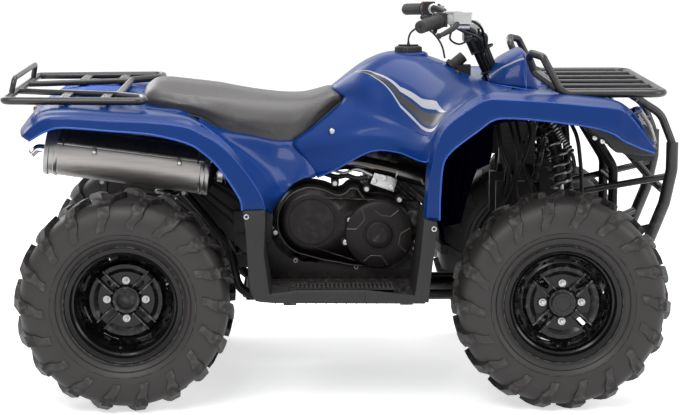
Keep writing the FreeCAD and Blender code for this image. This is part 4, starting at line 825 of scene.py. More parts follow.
def tightened(station, inner=0.006):
    """A station whose last bend is drawn tight, as a pressed edge."""
    points = [Vector(p) for p in station]
    last, lower, upper, before = points[-1], points[-2], points[-3], points[-4]
    met = intersect_line_line(before, upper, last, lower)
    middle = (upper + lower) / 2
    corner = (met[0] + met[1]) / 2 if met else middle
    if (corner - middle).length > 0.022:
        corner = middle + (corner - middle).normalized() * 0.022
    back, down = (before - corner), (last - corner)
    near, far = min(0.018, back.length * 0.45), min(0.014, down.length * 0.55)
    one, two = back.normalized(), down.normalized()
    return points[:-3] + [corner + one * near, corner + one * inner * 0.7,
        corner + (one + two) * inner * 0.18, corner + two * inner * 0.7, corner + two * far, last]


def trimmed_skin(shape, beads, stations, across, fine):
    """A sheet with a tight outer edge, and beads along that edge and along the rolled lip; the beads take a
    lighter blue, a painted highlight.
    """
    columns = shape.skin([tightened(row) for row in stations], fine, across)
    beads.tube([p + Vector((0, -0.0004, 0.0004)) for p in columns[-1 - 3 * across]], 0.0016, 8)
    beads.tube(columns[-1], 0.003, 8)


def on_skin(columns, across, fine, cross, along, lift):
    """A point on a sheet at a cross place and a long place, lifted off it."""
    c, r = min(cross * across, len(columns) - 1.001), min(along * fine, len(columns[0]) - 1.001)
    i, j = int(c), int(r)
    u, v = c - i, r - j
    a, b, d, e = columns[i][j], columns[i + 1][j], columns[i][j + 1], columns[i + 1][j + 1]
    out = (b - a).cross(d - a).normalized()
    if out.y > 0:
        out = -out
    return (a * (1 - u) + b * u) * (1 - v) + (d * (1 - u) + e * u) * v + out * lift


def between(pairs, place):
    """A value read from a list of (place, value)."""
    for (x0, y0), (x1, y1) in zip(pairs, pairs[1:]):
        if place <= x1:
            return y0 + (y1 - y0) * max(0.0, place - x0) / (x1 - x0)
    return pairs[-1][1]


# The middle and the half width of the stripe across the tank cover, at places along it
STRIPE_MIDDLE = ((0.75, 1.08), (1.5, 1.78), (2.5, 2.42), (3.5, 2.68), (4.9, 2.8))
STRIPE_HALF = ((0.75, 0.02), (2.5, 0.095), (4.0, 0.15), (4.9, 0.13))


def ribbon(shape, surface, fine, first, last, material):
    """A tapering stripe laid on the tank cover, from one share of its width to another."""
    rows = []
    for k in range(64):
        along = 0.75 + 4.1 * k / 63
        middle, half = between(STRIPE_MIDDLE, along), between(STRIPE_HALF, along)
        taper = min(1.0, (63 - k) / 10)
        low, high = middle + half * (first * 2 - 1) * taper, middle + half * (last * 2 - 1) * taper
        rows.append([on_skin(surface, 5, fine, low + (high - low) * t / 4, along, 0.0024) for t in range(5)])
    shape.grid(rows, material=material)


# Stations of the sheets, each from the middle of the machine to its side, in millimetres
REAR_FENDER = metres((
    ((-925, 0, 800), (-925, -200, 798), (-922, -360, 793), (-915, -425, 787), (-909, -458, 784),
     (-901, -472, 780), (-886, -481, 772)),
    ((-880, 0, 848), (-878, -200, 847), (-874, -360, 845), (-866, -435, 842), (-855, -475, 832),
     (-848, -494, 818), (-838, -500, 800)),
    ((-790, 0, 856), (-790, -200, 855), (-788, -370, 855), (-785, -448, 852), (-790, -484, 842),
     (-790, -501, 829), (-790, -505, 812)),
    ((-665, 0, 850), (-665, -200, 849), (-665, -360, 849), (-665, -445, 846), (-667, -484, 835),
     (-667, -501, 822), (-667, -505, 803)),
    ((-560, 0, 806), (-560, -190, 811), (-556, -340, 840), (-550, -440, 841), (-546, -483, 829),
     (-544, -501, 815), (-543, -505, 792)),
    ((-480, -100, 795), (-480, -200, 812), (-470, -320, 822), (-457, -435, 831), (-452, -480, 816),
     (-448, -500, 798), (-445, -505, 767)),
    ((-430, -100, 770), (-425, -200, 788), (-418, -310, 792), (-412, -435, 811), (-410, -480, 797),
     (-408, -500, 778), (-404, -505, 742)),
    ((-395, -300, 742), (-392, -340, 752), (-388, -390, 768), (-374, -446, 785), (-370, -480, 775),
     (-369, -500, 758), (-366, -505, 708)),
    ((-350, -350, 700), (-346, -380, 708), (-338, -410, 720), (-322, -452, 738), (-322, -482, 732),
     (-326, -501, 714), (-334, -506, 664)),
    ((-305, -360, 640), (-300, -390, 646), (-290, -420, 656), (-276, -455, 676), (-276, -484, 674),
     (-284, -502, 664), (-308, -506, 622)),
    ((-262, -370, 590), (-256, -390, 598), (-248, -420, 606), (-238, -455, 614), (-240, -485, 614),
     (-250, -503, 612), (-298, -507, 600)),
    ((-250, -370, 564), (-244, -390, 569), (-236, -420, 573), (-229, -455, 576), (-231, -486, 577),
     (-243, -503, 578), (-296, -507, 579)),
))
# where the deck runs under the seat it is lifted into the seat's base, at these stations
LIFTED = {4: metres(((-560, 0, 843), (-560, -165, 829))), 5: metres(((-480, -120, 833), (-480, -168, 823))),
          6: metres(((-430, -120, 800), (-428, -168, 797)))}
# the first point of each row lies hidden under the seat
SIDE_COVERS = metres((
    ((-430, -140, 803), (-430, -190, 800), (-428, -225, 796), (-425, -270, 795), (-420, -330, 799),
     (-416, -390, 806), (-410, -450, 813)),
    ((-374, -140, 782), (-374, -186, 766), (-368, -215, 746), (-362, -255, 737), (-358, -315, 742),
     (-357, -390, 758), (-357, -455, 773)),
    ((-330, -140, 775), (-330, -182, 750), (-322, -205, 722), (-315, -240, 706), (-310, -300, 703),
     (-312, -380, 717), (-323, -457, 739)),
    ((-268, -140, 762), (-268, -178, 737), (-264, -200, 700), (-262, -232, 672), (-264, -290, 659),
     (-276, -375, 672), (-299, -458, 707)),
    ((-205, -140, 745), (-205, -176, 722), (-208, -200, 680), (-214, -232, 644), (-226, -285, 622),
     (-246, -370, 634), (-277, -459, 677)),
    ((-161, -140, 742), (-161, -178, 720), (-168, -208, 672), (-182, -240, 628), (-204, -280, 596),
     (-228, -365, 602), (-257, -460, 645)),
    ((-121, -140, 735), (-121, -196, 694), (-136, -228, 652), (-160, -250, 616), (-190, -272, 580),
     (-216, -350, 577), (-239, -460, 614)),
    ((-95, -140, 700), (-87, -240, 640), (-125, -252, 630), (-166, -258, 608), (-212, -264, 548),
     (-220, -330, 540), (-229, -460, 577)),
))


def build_rear_fender(beads, sizes):
    """The rear fender, and the beads and ribs on it."""
    shape = Shape()
    longer = []
    for number, row in enumerate(REAR_FENDER):
        first, second = LIFTED.get(number, (row[0], (Vector(row[0]) + Vector(row[1])) / 2))
        longer.append([first, second] + row[1:])
    trimmed_skin(shape, beads, longer, 5, sizes.fineness)
    shape.mirror()
    make_piece("rear_fender_moulding", shape, ["blue_plastic"], ["rear_fender"],
        crease=70, solid=sizes.thickness)
    # the ribs on the deck take the lighter blue of the edge beads, a painted highlight
    for k in range(9):
        y = -0.04 - 0.03 * k
        beads.tube(smooth_line([(-0.868, y, 0.851), (-0.78, y, 0.8585), (-0.69, y, 0.8545),
            (-0.625, y, 0.838)], 4), 0.0042, 8)


def build_side_covers(beads, sizes):
    """The covers beside the seat, and the beads of all rear panels in a lighter blue, a painted highlight
    along the edges and ribs.
    """
    covers = Shape()
    edge = covers.skin(SIDE_COVERS, sizes.fineness, 6)
    beads.tube([p + Vector((0, -0.002, 0.001)) for p in edge[-1][:-4]], 0.0024, 8)
    beads.mirror()
    make_piece("rear_edge_beads_painted_highlight", beads, ["panel_edge_painted_highlight"], crease=60, weld=False)
    covers.mirror()
    make_piece("seat_side_covers", covers, ["blue_plastic"],
        crease=70, solid=sizes.thickness)


class QUAD_OT_rear_body(bpy.types.Operator):
    """Builds the rear fender and the covers beside the seat"""

    bl_idname = "quad.rear_body"
    bl_label = "Rear body"

    def execute(self, context):
        beads, sizes = Shape(), context.scene.quad_panels
        build_rear_fender(beads, sizes)
        build_side_covers(beads, sizes)
        return {"FINISHED"}


FRONT_FENDER = metres((
    ((232, -340, 545), (218, -390, 547), (213, -430, 549), (212, -465, 549), (216, -490, 549),
     (232, -503, 549), (254, -505, 549)),
    ((236, -340, 620), (222, -390, 620), (218, -430, 620), (217, -465, 620), (221, -490, 620),
     (236, -503, 620), (255, -505, 620)),
    ((242, -330, 700), (230, -380, 700), (225, -420, 700), (226, -458, 700), (231, -488, 702),
     (246, -503, 702), (262, -505, 702)),
    ((270, -320, 752), (256, -370, 760), (250, -410, 766), (245, -446, 768), (248, -486, 766),
     (262, -502, 753), (281, -505, 738)),
    ((296, -300, 798), (284, -350, 806), (274, -400, 814), (267, -437, 816), (272, -484, 812),
     (292, -502, 795), (318, -505, 770)),
    ((340, -280, 842), (332, -340, 850), (326, -390, 858), (321, -430, 861), (322, -482, 854),
     (336, -502, 834), (355, -505, 797)),
    ((382, -100, 868), (380, -280, 878), (378, -360, 888), (376, -422, 892), (377, -482, 885),
     (388, -501, 866), (400, -505, 829)),
    ((448, -100, 872), (448, -250, 884), (448, -340, 893), (448, -415, 894), (448, -481, 886),
     (449, -501, 868), (450, -505, 835)),
    ((545, 0, 868), (545, -220, 880), (545, -320, 887), (545, -408, 888), (545, -480, 880),
     (548, -500, 862), (550, -505, 827)),
    ((660, 0, 862), (660, -220, 872), (660, -330, 880), (660, -412, 880), (660, -478, 870),
     (665, -498, 848), (674, -500, 809)),
    ((745, 0, 848), (745, -220, 858), (745, -330, 869), (747, -415, 871), (750, -472, 860),
     (747, -492, 835), (735, -495, 790)),
    ((795, 0, 832), (793, -220, 841), (790, -330, 851), (788, -415, 851), (786, -462, 838),
     (782, -480, 812), (767, -485, 769)),
    ((842, 0, 790), (841, -220, 796), (838, -330, 802), (835, -400, 802), (829, -446, 790),
     (822, -468, 770), (812, -470, 748)),
    ((880, 0, 742), (879, -220, 742), (876, -330, 742), (873, -395, 738), (868, -430, 734),
     (864, -445, 731), (860, -450, 729)),
))
TANK_COVER = metres((
    ((-46, 0, 872), (-40, -50, 870), (-22, -88, 860), (-6, -118, 848), (-52, -140, 806), (-112, -160, 760),
     (-158, -178, 723), (-126, -205, 682), (-84, -242, 633)),
    ((51, 0, 944), (50, -75, 936), (49, -140, 896), (50, -172, 842), (20, -192, 805), (-20, -208, 768),
     (-50, -222, 735), (-45, -236, 700), (-34, -262, 657)),
    ((125, 0, 974), (125, -85, 965), (125, -165, 905), (120, -225, 814), (108, -240, 795), (90, -252, 775),
     (70, -268, 757), (68, -278, 740), (68, -290, 714)),
    ((190, 0, 974), (190, -90, 965), (188, -190, 905), (186, -300, 790), (176, -310, 778), (162, -318, 766),
     (148, -326, 752), (145, -332, 738), (145, -338, 718)),
    ((248, 0, 964), (248, -95, 954), (248, -225, 895), (238, -385, 784), (230, -396, 772), (220, -404, 758),
     (212, -410, 742), (209, -414, 726), (209, -418, 703)),
    ((325, 0, 936), (325, -100, 928), (318, -240, 893), (286, -400, 836), (277, -412, 828),
     (266, -423, 815), (255, -432, 795), (247, -438, 768), (232, -445, 720)),
    ((400, 0, 898), (400, -105, 901), (395, -250, 898), (362, -385, 887), (352, -400, 882),
     (340, -412, 874), (328, -422, 865), (312, -430, 853), (292, -436, 835)),
    ((480, 0, 862), (480, -120, 880), (478, -250, 889), (460, -350, 896), (450, -370, 896),
     (438, -385, 896), (425, -398, 896), (410, -408, 895), (392, -416, 893)),
))
# x, then y and z from the middle outwards
COWL = metres((
    (424, ((0, 908), (45, 907), (80, 903), (92, 899), (95, 893))),
    (458, ((0, 952), (60, 949), (100, 938), (120, 916), (128, 888))),
    (490, ((0, 972), (65, 969), (108, 957), (130, 925), (140, 884))),
    (518, ((0, 985), (70, 982), (110, 970), (134, 930), (146, 880))),
    (530, ((0, 985), (66, 982), (104, 968), (128, 928), (146, 878))),
    (546, ((0, 962), (60, 958), (94, 944), (116, 912), (132, 876))),
    (562, ((0, 915), (55, 912), (86, 904), (106, 890), (120, 875))),
    (572, ((0, 876), (50, 876), (80, 875), (100, 874), (112, 873))),
))
# x, top, ridge y, ridge z, side y, side z, bottom y, bottom z
SEAT_CUTS = metres((
    (-603, 852, 55, 850, 85, 843, 80, 832),
    (-594, 876, 85, 868, 128, 848, 122, 826),
    (-570, 894.5, 110, 882, 155, 850, 150, 822),
    (-530, 898.5, 122, 878, 172, 848, 168, 818),
    (-489, 894.5, 128, 870, 180, 843, 175, 813),
    (-440, 889, 130, 864, 183, 836, 177, 803),
    (-405, 885, 130, 860, 183, 826, 177, 788),
    (-370, 880, 130, 856, 182, 814, 176, 763),
    (-330, 872, 128, 849, 180, 802, 174, 748),
    (-270, 861, 126, 843, 177, 793, 170, 737),
    (-205, 852.5, 122, 838, 173, 785, 166, 721),
    (-160, 850, 118, 837, 168, 783, 162, 721),
    (-121, 851.5, 113, 842, 158, 796, 153, 745),
    (-78, 861.5, 104, 856, 140, 822, 136, 784),
    (-45, 872, 92, 868, 120, 848, 116, 810),
    (-15, 866, 80, 864, 98, 852, 95, 834),
))


def build_front_fender(beads, sizes):
    """The front fender with its edge beads."""
    shape = Shape()
    trimmed_skin(shape, beads, FRONT_FENDER, 4, sizes.fineness)
    shape.mirror()
    make_piece("front_fender_moulding", shape, ["blue_plastic"], ["front_fender"],
        crease=70, solid=sizes.thickness)


def build_tank_cover(beads, sizes):
    """The tank cover with its stripe, its seams and its creases."""
    cover = Shape()
    surface = cover.skin(TANK_COVER, sizes.fineness, 5)
    fine = sizes.fineness
    # the crease and edge beads take the lighter blue of the front edge beads, a painted highlight along the
    # creases
    beads.tube([on_skin(surface, 5, fine, 3.0, v / 10, 0.0004) for v in range(2, 41)], 0.0014, 8)
    beads.tube([on_skin(surface, 5, fine, 8.0, v / 10, 0.0) for v in range(0, 61)], 0.0026, 8)
    for across in (1.35, 2.0):
        beads.tube([on_skin(surface, 5, fine, across + 0.05 * sin(v / 9), v / 10, 0.0002)
            for v in range(12, 66)], 0.0011, 8)
    stripe = Shape()
    for first, last, material in ((0.0, 1.0, 0), (-0.85, -0.25, 1), (1.25, 1.6, 1)):
        ribbon(stripe, surface, fine, first, last, material)
    stripe.mirror()
    make_piece("tank_stripe", stripe, ["stripe_dark", "stripe_grey"], crease=60)
    seams = Shape()
    seams.tube([on_skin(surface, 5, fine, u / 10, 0.0, 0.0006) for u in range(60, 81)], 0.0018, 8)
    seams.tube([on_skin(surface, 5, fine, u / 10, 7.0, 0.0004) for u in range(20, 81)], 0.0012, 8)
    seams.tube(smooth_line([(cut[0], -cut[6] - 0.002, cut[7] + 0.001) for cut in SEAT_CUTS[1:]], 4),
        0.0042, 8)
    seams.mirror()
    make_piece("seams", seams, ["soft_rubber"], crease=60, weld=False)
    cover.mirror()
    make_piece("tank_cover_moulding", cover, ["blue_plastic"], ["tank_cover", "side_panels"],
        crease=70, solid=sizes.thickness)


def build_cowl(beads, sizes):
    """The instrument cowl, and the beads of all front panels in a lighter blue, a painted highlight along
    the edges and creases.
    """
    cowl = Shape()
    shell = cowl.skin([[(x, -y, z) for y, z in row] for x, row in COWL], 4, 4)
    beads.tube([column[16] + Vector((0.0005, -0.0005, 0)) for column in shell[4:]], 0.0016, 8)
    beads.tube(shell[-1][:25], 0.0024, 8)
    beads.mirror()
    make_piece("front_edge_beads_painted_highlight", beads, ["panel_edge_painted_highlight"], crease=60, weld=False)
    trim = Shape()
    trim.tube([p + Vector((0, 0, 0.001)) for p in shell[9][1:15]], 0.0036, 8)
    trim.mirror()
    make_piece("cowl_trim", trim, ["grey_plastic"], crease=60, weld=False)
    cowl.mirror()
    make_piece("instrument_cowl_moulding", cowl, ["blue_plastic"], ["instrument_cowl"],
        crease=70, solid=sizes.thickness)


class QUAD_OT_front_body(bpy.types.Operator):
    """Builds the front fender, the tank cover and the cowl"""

    bl_idname = "quad.front_body"
    bl_label = "Front body"

    def execute(self, context):
        beads, sizes = Shape(), context.scene.quad_panels
        build_front_fender(beads, sizes)
        build_tank_cover(beads, sizes)
        build_cowl(beads, sizes)
        return {"FINISHED"}


class QUAD_OT_seat(bpy.types.Operator):
    """Builds the padded seat by filling its cover"""

    bl_idname = "quad.seat"
    bl_label = "Seat"

    def execute(self, context):
        swell = context.scene.quad_panels.seat_swell
        shape = Shape()
        rows = []
        for x, top, ridge_y, ridge_z, side_y, side_z, low_y, low_z in SEAT_CUTS:
            half = [Vector((x, 0, top)), Vector((x, -ridge_y * 0.55, top - (top - ridge_z) * 0.22)),
                Vector((x, -ridge_y, ridge_z)),
                Vector((x, -(ridge_y + side_y) / 2 - 0.006, ridge_z - (ridge_z - side_z) * 0.35)),
                Vector((x, -side_y, side_z)), Vector((x, -(side_y + low_y) / 2, (side_z + low_z) / 2)),
                Vector((x, -low_y, low_z)), Vector((x, -low_y * 0.5, low_z)), Vector((x, 0, low_z))]
            line = smooth_line(half[:7], 3) + half[7:]
            rows.append(line + [Vector((p.x, -p.y, p.z)) for p in line[-2:0:-1]])
        columns = [smooth_line(column, 4) for column in zip(*rows)]
        shape.grid([list(row) for row in zip(*columns)], round_columns=True, caps=True)
        piece = make_piece("seat_cushion", shape, ["vinyl"], ["seat"], crease=60)
        fill_seat(piece, swell)
        finer = piece.modifiers.new("finer", "SUBSURF")
        finer.levels = finer.render_levels = 1
        return {"FINISHED"}


def fill_seat(piece, swell):
    """Remeshes the seat evenly, fills it as cloth under pressure and keeps the move within a limit."""
    scene = bpy.context.scene
    even = piece.modifiers.new("even", "REMESH")
    even.mode = "VOXEL"
    even.voxel_size = 0.006
    bpy.context.view_layer.objects.active = piece
    bpy.context.view_layer.update()
    flat = bpy.data.meshes.new_from_object(piece.evaluated_get(bpy.context.evaluated_depsgraph_get()))
    piece.modifiers.clear()
    flat.materials.clear()
    flat.materials.append(finishes["vinyl"])
    piece.data = flat
    start = [v.co.copy() for v in flat.vertices]
    cloth = piece.modifiers.new("filling", "CLOTH")
    cloth.settings.use_pressure = True
    cloth.settings.uniform_pressure_force = 4
    cloth.settings.effector_weights.gravity = 0
    cloth.settings.quality = 5
    for number in range(1, 16):
        scene.frame_set(number)
    ready = piece.evaluated_get(bpy.context.evaluated_depsgraph_get())
    moved = [v.co.copy() for v in ready.data.vertices]
    piece.modifiers.clear()
    scene.frame_set(1)
    low = min(p.z for p in start)
    for vertex, before, after in zip(flat.vertices, start, moved):
        move = after - before
        # the base lies on its pan, and the ends meet the tank and the deck, so they move least
        free = min(1.0, max(0.0, (before.z - low) / 0.08))
        if move.length > swell:
            move = move.normalized() * swell
        vertex.co = before + move * free * 0.8
    flat.shade_smooth()


# Engine


BELT = Vector((-0.102, 0, 0.504))
CLUTCH = Vector((0.093, 0, 0.469))
DOME = ((0, 0.1), (0.009, 0.0995), (0.015, 0.096), (0.0185, 0.088), (0.0205, 0.075), (0.0215, 0.06),
        (0.022, 0.046), (0.02, 0.0445), (0.02, 0.0405), (0.0255, 0.0385), (0.0275, 0.034), (0.028, 0.012),
        (0.028, 0.0001))


def round_of(middle, radius, start, end, steps):
    """Points of an arc in x and z, between two angles in degrees."""
    turns = [radians(start + (end - start) * k / steps) for k in range(steps + 1)]
    return [(middle.x + radius * cos(a), middle.z + radius * sin(a)) for a in turns]


def shrunk(outline, inset):
    """A closed outline moved inwards."""
    moved = []
    for i, here in enumerate(outline):
        before, after = Vector(outline[i - 1]), Vector(outline[(i + 1) % len(outline)])
        along = (after - before).normalized()
        moved.append((here[0] - along.y * inset, here[1] + along.x * inset))
    return moved


def domed(x, z, more=0.0):
    """A point on the clutch cover."""
    reach = hypot(x - CLUTCH.x, z - CLUTCH.z)
    lift = 0.0
    for (low, wide), (high, narrow) in zip(DOME, DOME[1:]):
        if narrow <= reach <= wide and wide > narrow:
            lift = low + (high - low) * (wide - reach) / (wide - narrow)
    return Vector((x, -0.262 - lift - more, z))


def belt_cover_casting():
    """The long cover over the drive belt, with its flange, its round boss and its ridges; the flange lines
    and ridges take a lighter finish, a painted highlight.
    """
    points = round_of(BELT, 0.113, 92, 262, 12) + [(-0.07, 0.379), (-0.025, 0.371), (0.02, 0.362)]
    points += round_of(CLUTCH, 0.107, 270, 445, 12)
    points += [(0.066, 0.577), (0.052, 0.59), (0.036, 0.612), (0.006, 0.613), (-0.012, 0.598),
        (-0.03, 0.595), (-0.062, 0.609)]
    outline = [(p.x, p.y) for p in smooth_line(points, 3, closed=True)]
    shape = Shape()
    rows = [[Vector((x, y, z)) for x, z in shrunk(outline, inset)]
        for y, inset in ((-0.15, 0), (-0.176, 0), (-0.178, 0.002), (-0.178, 0.005),
            (-0.236, 0.007), (-0.25, 0.009), (-0.2565, 0.0135), (-0.2585, 0.019))]
    shape.grid(rows, round_columns=True)

    def face(a, b, deep):
        reach = hypot(a - BELT.x, b - BELT.z)
        lift = 0.0
        if reach < 0.066:
            lift = 0.0012
        elif reach < 0.0695:
            lift = -0.0022
        elif reach < 0.0745:
            lift = 0.0016
        return Vector((a, -0.2585 - lift + deep, b))

    rings = [circle(r, 64, (BELT.x, BELT.z)) for r in (0.0655, 0.0663, 0.0692, 0.0698, 0.074, 0.0749)]
    ringed_plate(shape, shrunk(outline, 0.019), [], rings, face, 0.002)
    shape.tube([Vector((x, -0.2562, z)) for x, z in shrunk(outline, 0.0125)], 0.0017, 8, 1, closed=True)
    shape.tube([Vector((x, -0.18, z)) for x, z in shrunk(outline, -0.001)], 0.0022, 8, 1, closed=True)
    for low, high in ((68, 96), (-84, -96)):
        a, b = radians(low), radians(high)
        shape.tube([Vector((BELT.x + 0.076 * cos(a), -0.259, BELT.z + 0.076 * sin(a))),
            Vector((CLUTCH.x + 0.1 * cos(b), -0.259, CLUTCH.z + 0.1 * sin(b)))], 0.0016, 8)
    make_piece("belt_cover_casting", shape, ["cover_paint", "ridge_painted_highlight"], ["belt_cover"])


def clutch_cover_casting():
    """The round domed cover in front of the belt cover, with its bent ridges in a lighter finish, a painted
    highlight.
    """
    shape = Shape()
    shape.spun((CLUTCH.x, -0.262, CLUTCH.z), (0, -1, 0), DOME, 72)
    for corners in (((-0.0005, 0.4857), (0.0279, 0.4857), (0.0523, 0.5142), (0.044, 0.546)),
            ((0.0807, 0.5405), (0.0969, 0.5263), (0.1274, 0.5223), (0.1497, 0.5405)),
            ((0.183, 0.488), (0.156, 0.472), (0.15, 0.44), (0.172, 0.418)),
            ((0.118, 0.38), (0.1, 0.406), (0.07, 0.408), (0.048, 0.39))):
        line = [domed(p.x, p.z, -0.0004) for p in bent_line([(x, 0, z) for x, z in corners], 0.008, 4)]
        shape.tube(line, 0.0026, 8, 1)
    shape.turned((CLUTCH.x, -0.2895, CLUTCH.z), (0, -1, 0), [(0, 25), (0.8, 24), (0.8, 0.1)], 40)
    make_piece("clutch_cover_casting", shape,
        ["cover_paint", "ridge_painted_highlight"], ["clutch_cover"])


# Screws of the engine as (height, radius), in millimetres
SOCKET_HEAD = ((-1, 7.8), (4.5, 7.8), (6.2, 6.2), (6.2, 3.8), (3, 3.6), (3, 0.1))
WIDE_SOCKET_HEAD = ((-1, 8), (4.5, 8), (6.2, 6.4), (6.2, 3.8), (3, 3.6), (3, 0.1))
# start, end, radius and finish of the round castings, in millimetres
CASTINGS = (
    ((60, -150, 690), (128, -150, 668), 26, 2), ((128, -150, 668), (150, -150, 661), 31, 1),
    ((-20, -140, 700), (60, -150, 690), 31, 1), ((205, -152, 420), (205, -235, 420), 30, 2),
    ((196, -152, 505), (196, -205, 505), 24, 2), ((0, -150, 350), (0, -232, 350), 21, 2),
    ((0, -232, 350), (0, -240, 350), 13, 2), ((205, -235, 420), (205, -243, 420), 12, 0),
    ((90, -150, 335), (90, -205, 335), 30, 2), ((-110, -150, 345), (-110, -200, 345), 34, 2),
)
FIN_COUNT, FIN_GAP = 9, 0.0115


def engine_fittings():
    """Bolts, bosses, the bracket, hoses, the cylinder's head and the low castings of the engine."""
    out = Vector((0, -1, 0))
    bolts = Shape()
    for x, z in ((-0.034, 0.614), (0.058, 0.597), (0.154, 0.565), (-0.208, 0.47), (-0.15, 0.386),
            (0.028, 0.366), (0.203, 0.44)):
        bolts.turned((x, -0.18, z), out, [(-20, 12.5), (52, 11.8), (56, 10.5), (56, 0.1)], 20)
        bolts.turned((x, -0.236, z), out, SOCKET_HEAD, 18, 1)
    for x, z in ((0.008, 0.51), (-0.005, 0.445)):
        bolts.turned((x, -0.252, z), out, [(0, 15), (12, 13.5), (16, 11), (16, 0.1)], 24)
        bolts.turned((x, -0.268, z), out, WIDE_SOCKET_HEAD, 18, 1)
    make_piece("cover_bolts", bolts, ["cover_paint", "satin_silver"])
    fittings = Shape()
    fittings.prism([(0.069, 0.61), (0.138, 0.585), (0.148, 0.622), (0.128, 0.631), (0.081, 0.642)],
        -0.222, -0.217, 0.0012)
    for x, z in ((0.082, 0.618), (0.132, 0.598), (0.112, 0.626)):
        fittings.bolt((x, -0.222, z), out, 0.0052, 0.005)
    line = smooth_line([(-0.06, -0.195, 0.655), (-0.01, -0.205, 0.64), (0.03, -0.21, 0.652),
        (0.075, -0.212, 0.634)], 6)
    fittings.tube(line, 0.0042, 10)
    line = smooth_line([(-0.075, -0.19, 0.64), (-0.03, -0.2, 0.628), (0.0, -0.205, 0.632),
        (0.03, -0.208, 0.624), (0.062, -0.21, 0.628)], 6)
    fittings.tube(line, 0.0075, 12, 1)
    for start, end, wide, material in CASTINGS:
        radius = metres(wide)
        part = Shape()
        part.rod(metres(start), metres(end), radius, radius * 0.94, 28, material)
        fittings.take(part, 0.0022, 2)
    # the cylinder leans forward, and so do its fins
    turn = Matrix.Rotation(radians(42), 3, "Y")
    half, up = turn @ Vector((0.088, 0, 0)), turn @ Vector((0, 0, 0.0022))
    for k in range(FIN_COUNT):
        middle = Vector((0.03, 0, 0.545)) + turn @ Vector((0.074, 0, 0.044 + FIN_GAP * k))
        part = Shape()
        corners = [middle + s * half + w * Vector((0, 0.114, 0)) + u * up for u in (-1, 1)
            for s, w in ((-1, -1), (1, -1), (1, 1), (-1, 1))]
        part.add(corners, BOX_FACES, 2)
        fittings.take(part, 0.0012, 1)
    for z, low, high in ((0.3, -0.19, 0.2), (0.322, -0.17, 0.195)):
        fittings.block((low, -0.172, z - 0.006), (high, -0.148, z + 0.006), 0.004, 2)
    make_piece("engine_fittings", fittings, ["satin_silver", "soft_rubber", "engine_alloy"])


class QUAD_OT_engine(bpy.types.Operator):
    """Builds the covers, bolts, hoses and fins of the engine"""

    bl_idname = "quad.engine"
    bl_label = "Engine covers"

    def execute(self, context):
        belt_cover_casting()
        clutch_cover_casting()
        engine_fittings()
        return {"FINISHED"}


# Exhaust


CAN_FRONT = Vector((-0.376, -0.315, 0.66))
CAN_REAR = Vector((-0.858, -0.315, 0.727))
CAN_LENGTH = (CAN_REAR - CAN_FRONT).length
CAN_AXIS = (CAN_REAR - CAN_FRONT).normalized()


def can_point(distance):
    """A point on the silencer's axis, measured back from its front end."""
    return CAN_FRONT + CAN_AXIS * distance


def silencer_can():
    """The brushed can with its rolled bands, its front cone and its bent tail pipe."""
    reach, axis = CAN_LENGTH, CAN_AXIS
    shape = Shape()
    shape.turned(CAN_FRONT, axis, [(-2, 23.5), (3, 26), (12, 52), (16, 60)], 64, 2)
    shape.turned(CAN_FRONT, axis, [(16, 60), (16.5, 66.5), (18, 69.5), (22, 70.8), (28, 70.8), (30.5, 69),
        (32.5, 69), (35, 70.6), (41, 70.6), (44, 68.2)], 64, 1)
    shape.spun(CAN_FRONT, axis, [(0.044, 0.068), (reach * 0.5, 0.068), (reach - 0.038, 0.068)], 64)
    shape.spun(CAN_FRONT, axis, [(reach - 0.038, 0.0682), (reach - 0.035, 0.07), (reach - 0.028, 0.07),
        (reach - 0.026, 0.0686), (reach - 0.014, 0.0686), (reach - 0.012, 0.0712), (reach - 0.003, 0.0712),
        (reach, 0.0695), (reach + 0.001, 0.064), (reach - 0.004, 0.061), (reach - 0.005, 0.0001)], 64, 1)
    tip = Vector((can_point(reach + 0.046).x, -0.322, 0.716))
    line = smooth_line([can_point(reach - 0.008), can_point(reach + 0.014),
        can_point(reach + 0.03) + Vector((0, -0.002, -0.003)), tip], 6)
    shape.tube(line, 0.0128, 24, 3)
    along = (line[-1] - line[-2]).normalized()
    shape.turned(tip, along, [(-4, 12.9), (0.6, 13.4), (1.2, 12), (1.2, 10.5)], 24, 3)
    shape.turned(tip, along, [(1.4, 10.6), (1, 0.1)], 24, 4)
    shape.turned(can_point(reach - 0.006), axis, [(0, 21), (6, 19), (10, 14.5)], 32, 1)
    for distance, drop in ((0.095, 0.074), (0.33, 0.074)):
        spot = can_point(distance) + Vector((0, 0.01, -drop))
        shape.block(spot - Vector((0.012, 0.01, 0.006)), spot + Vector((0.012, 0.01, 0.008)), 0.002, 2)
        shape.bolt(spot + Vector((0, -0.01, 0)), (0, -1, 0), 0.0045, 0.004, 1)
    make_piece("silencer_can", shape,
        ["silencer_steel", "silver_spring", "frame_paint", "chrome", "soft_rubber"], ["silencer"])


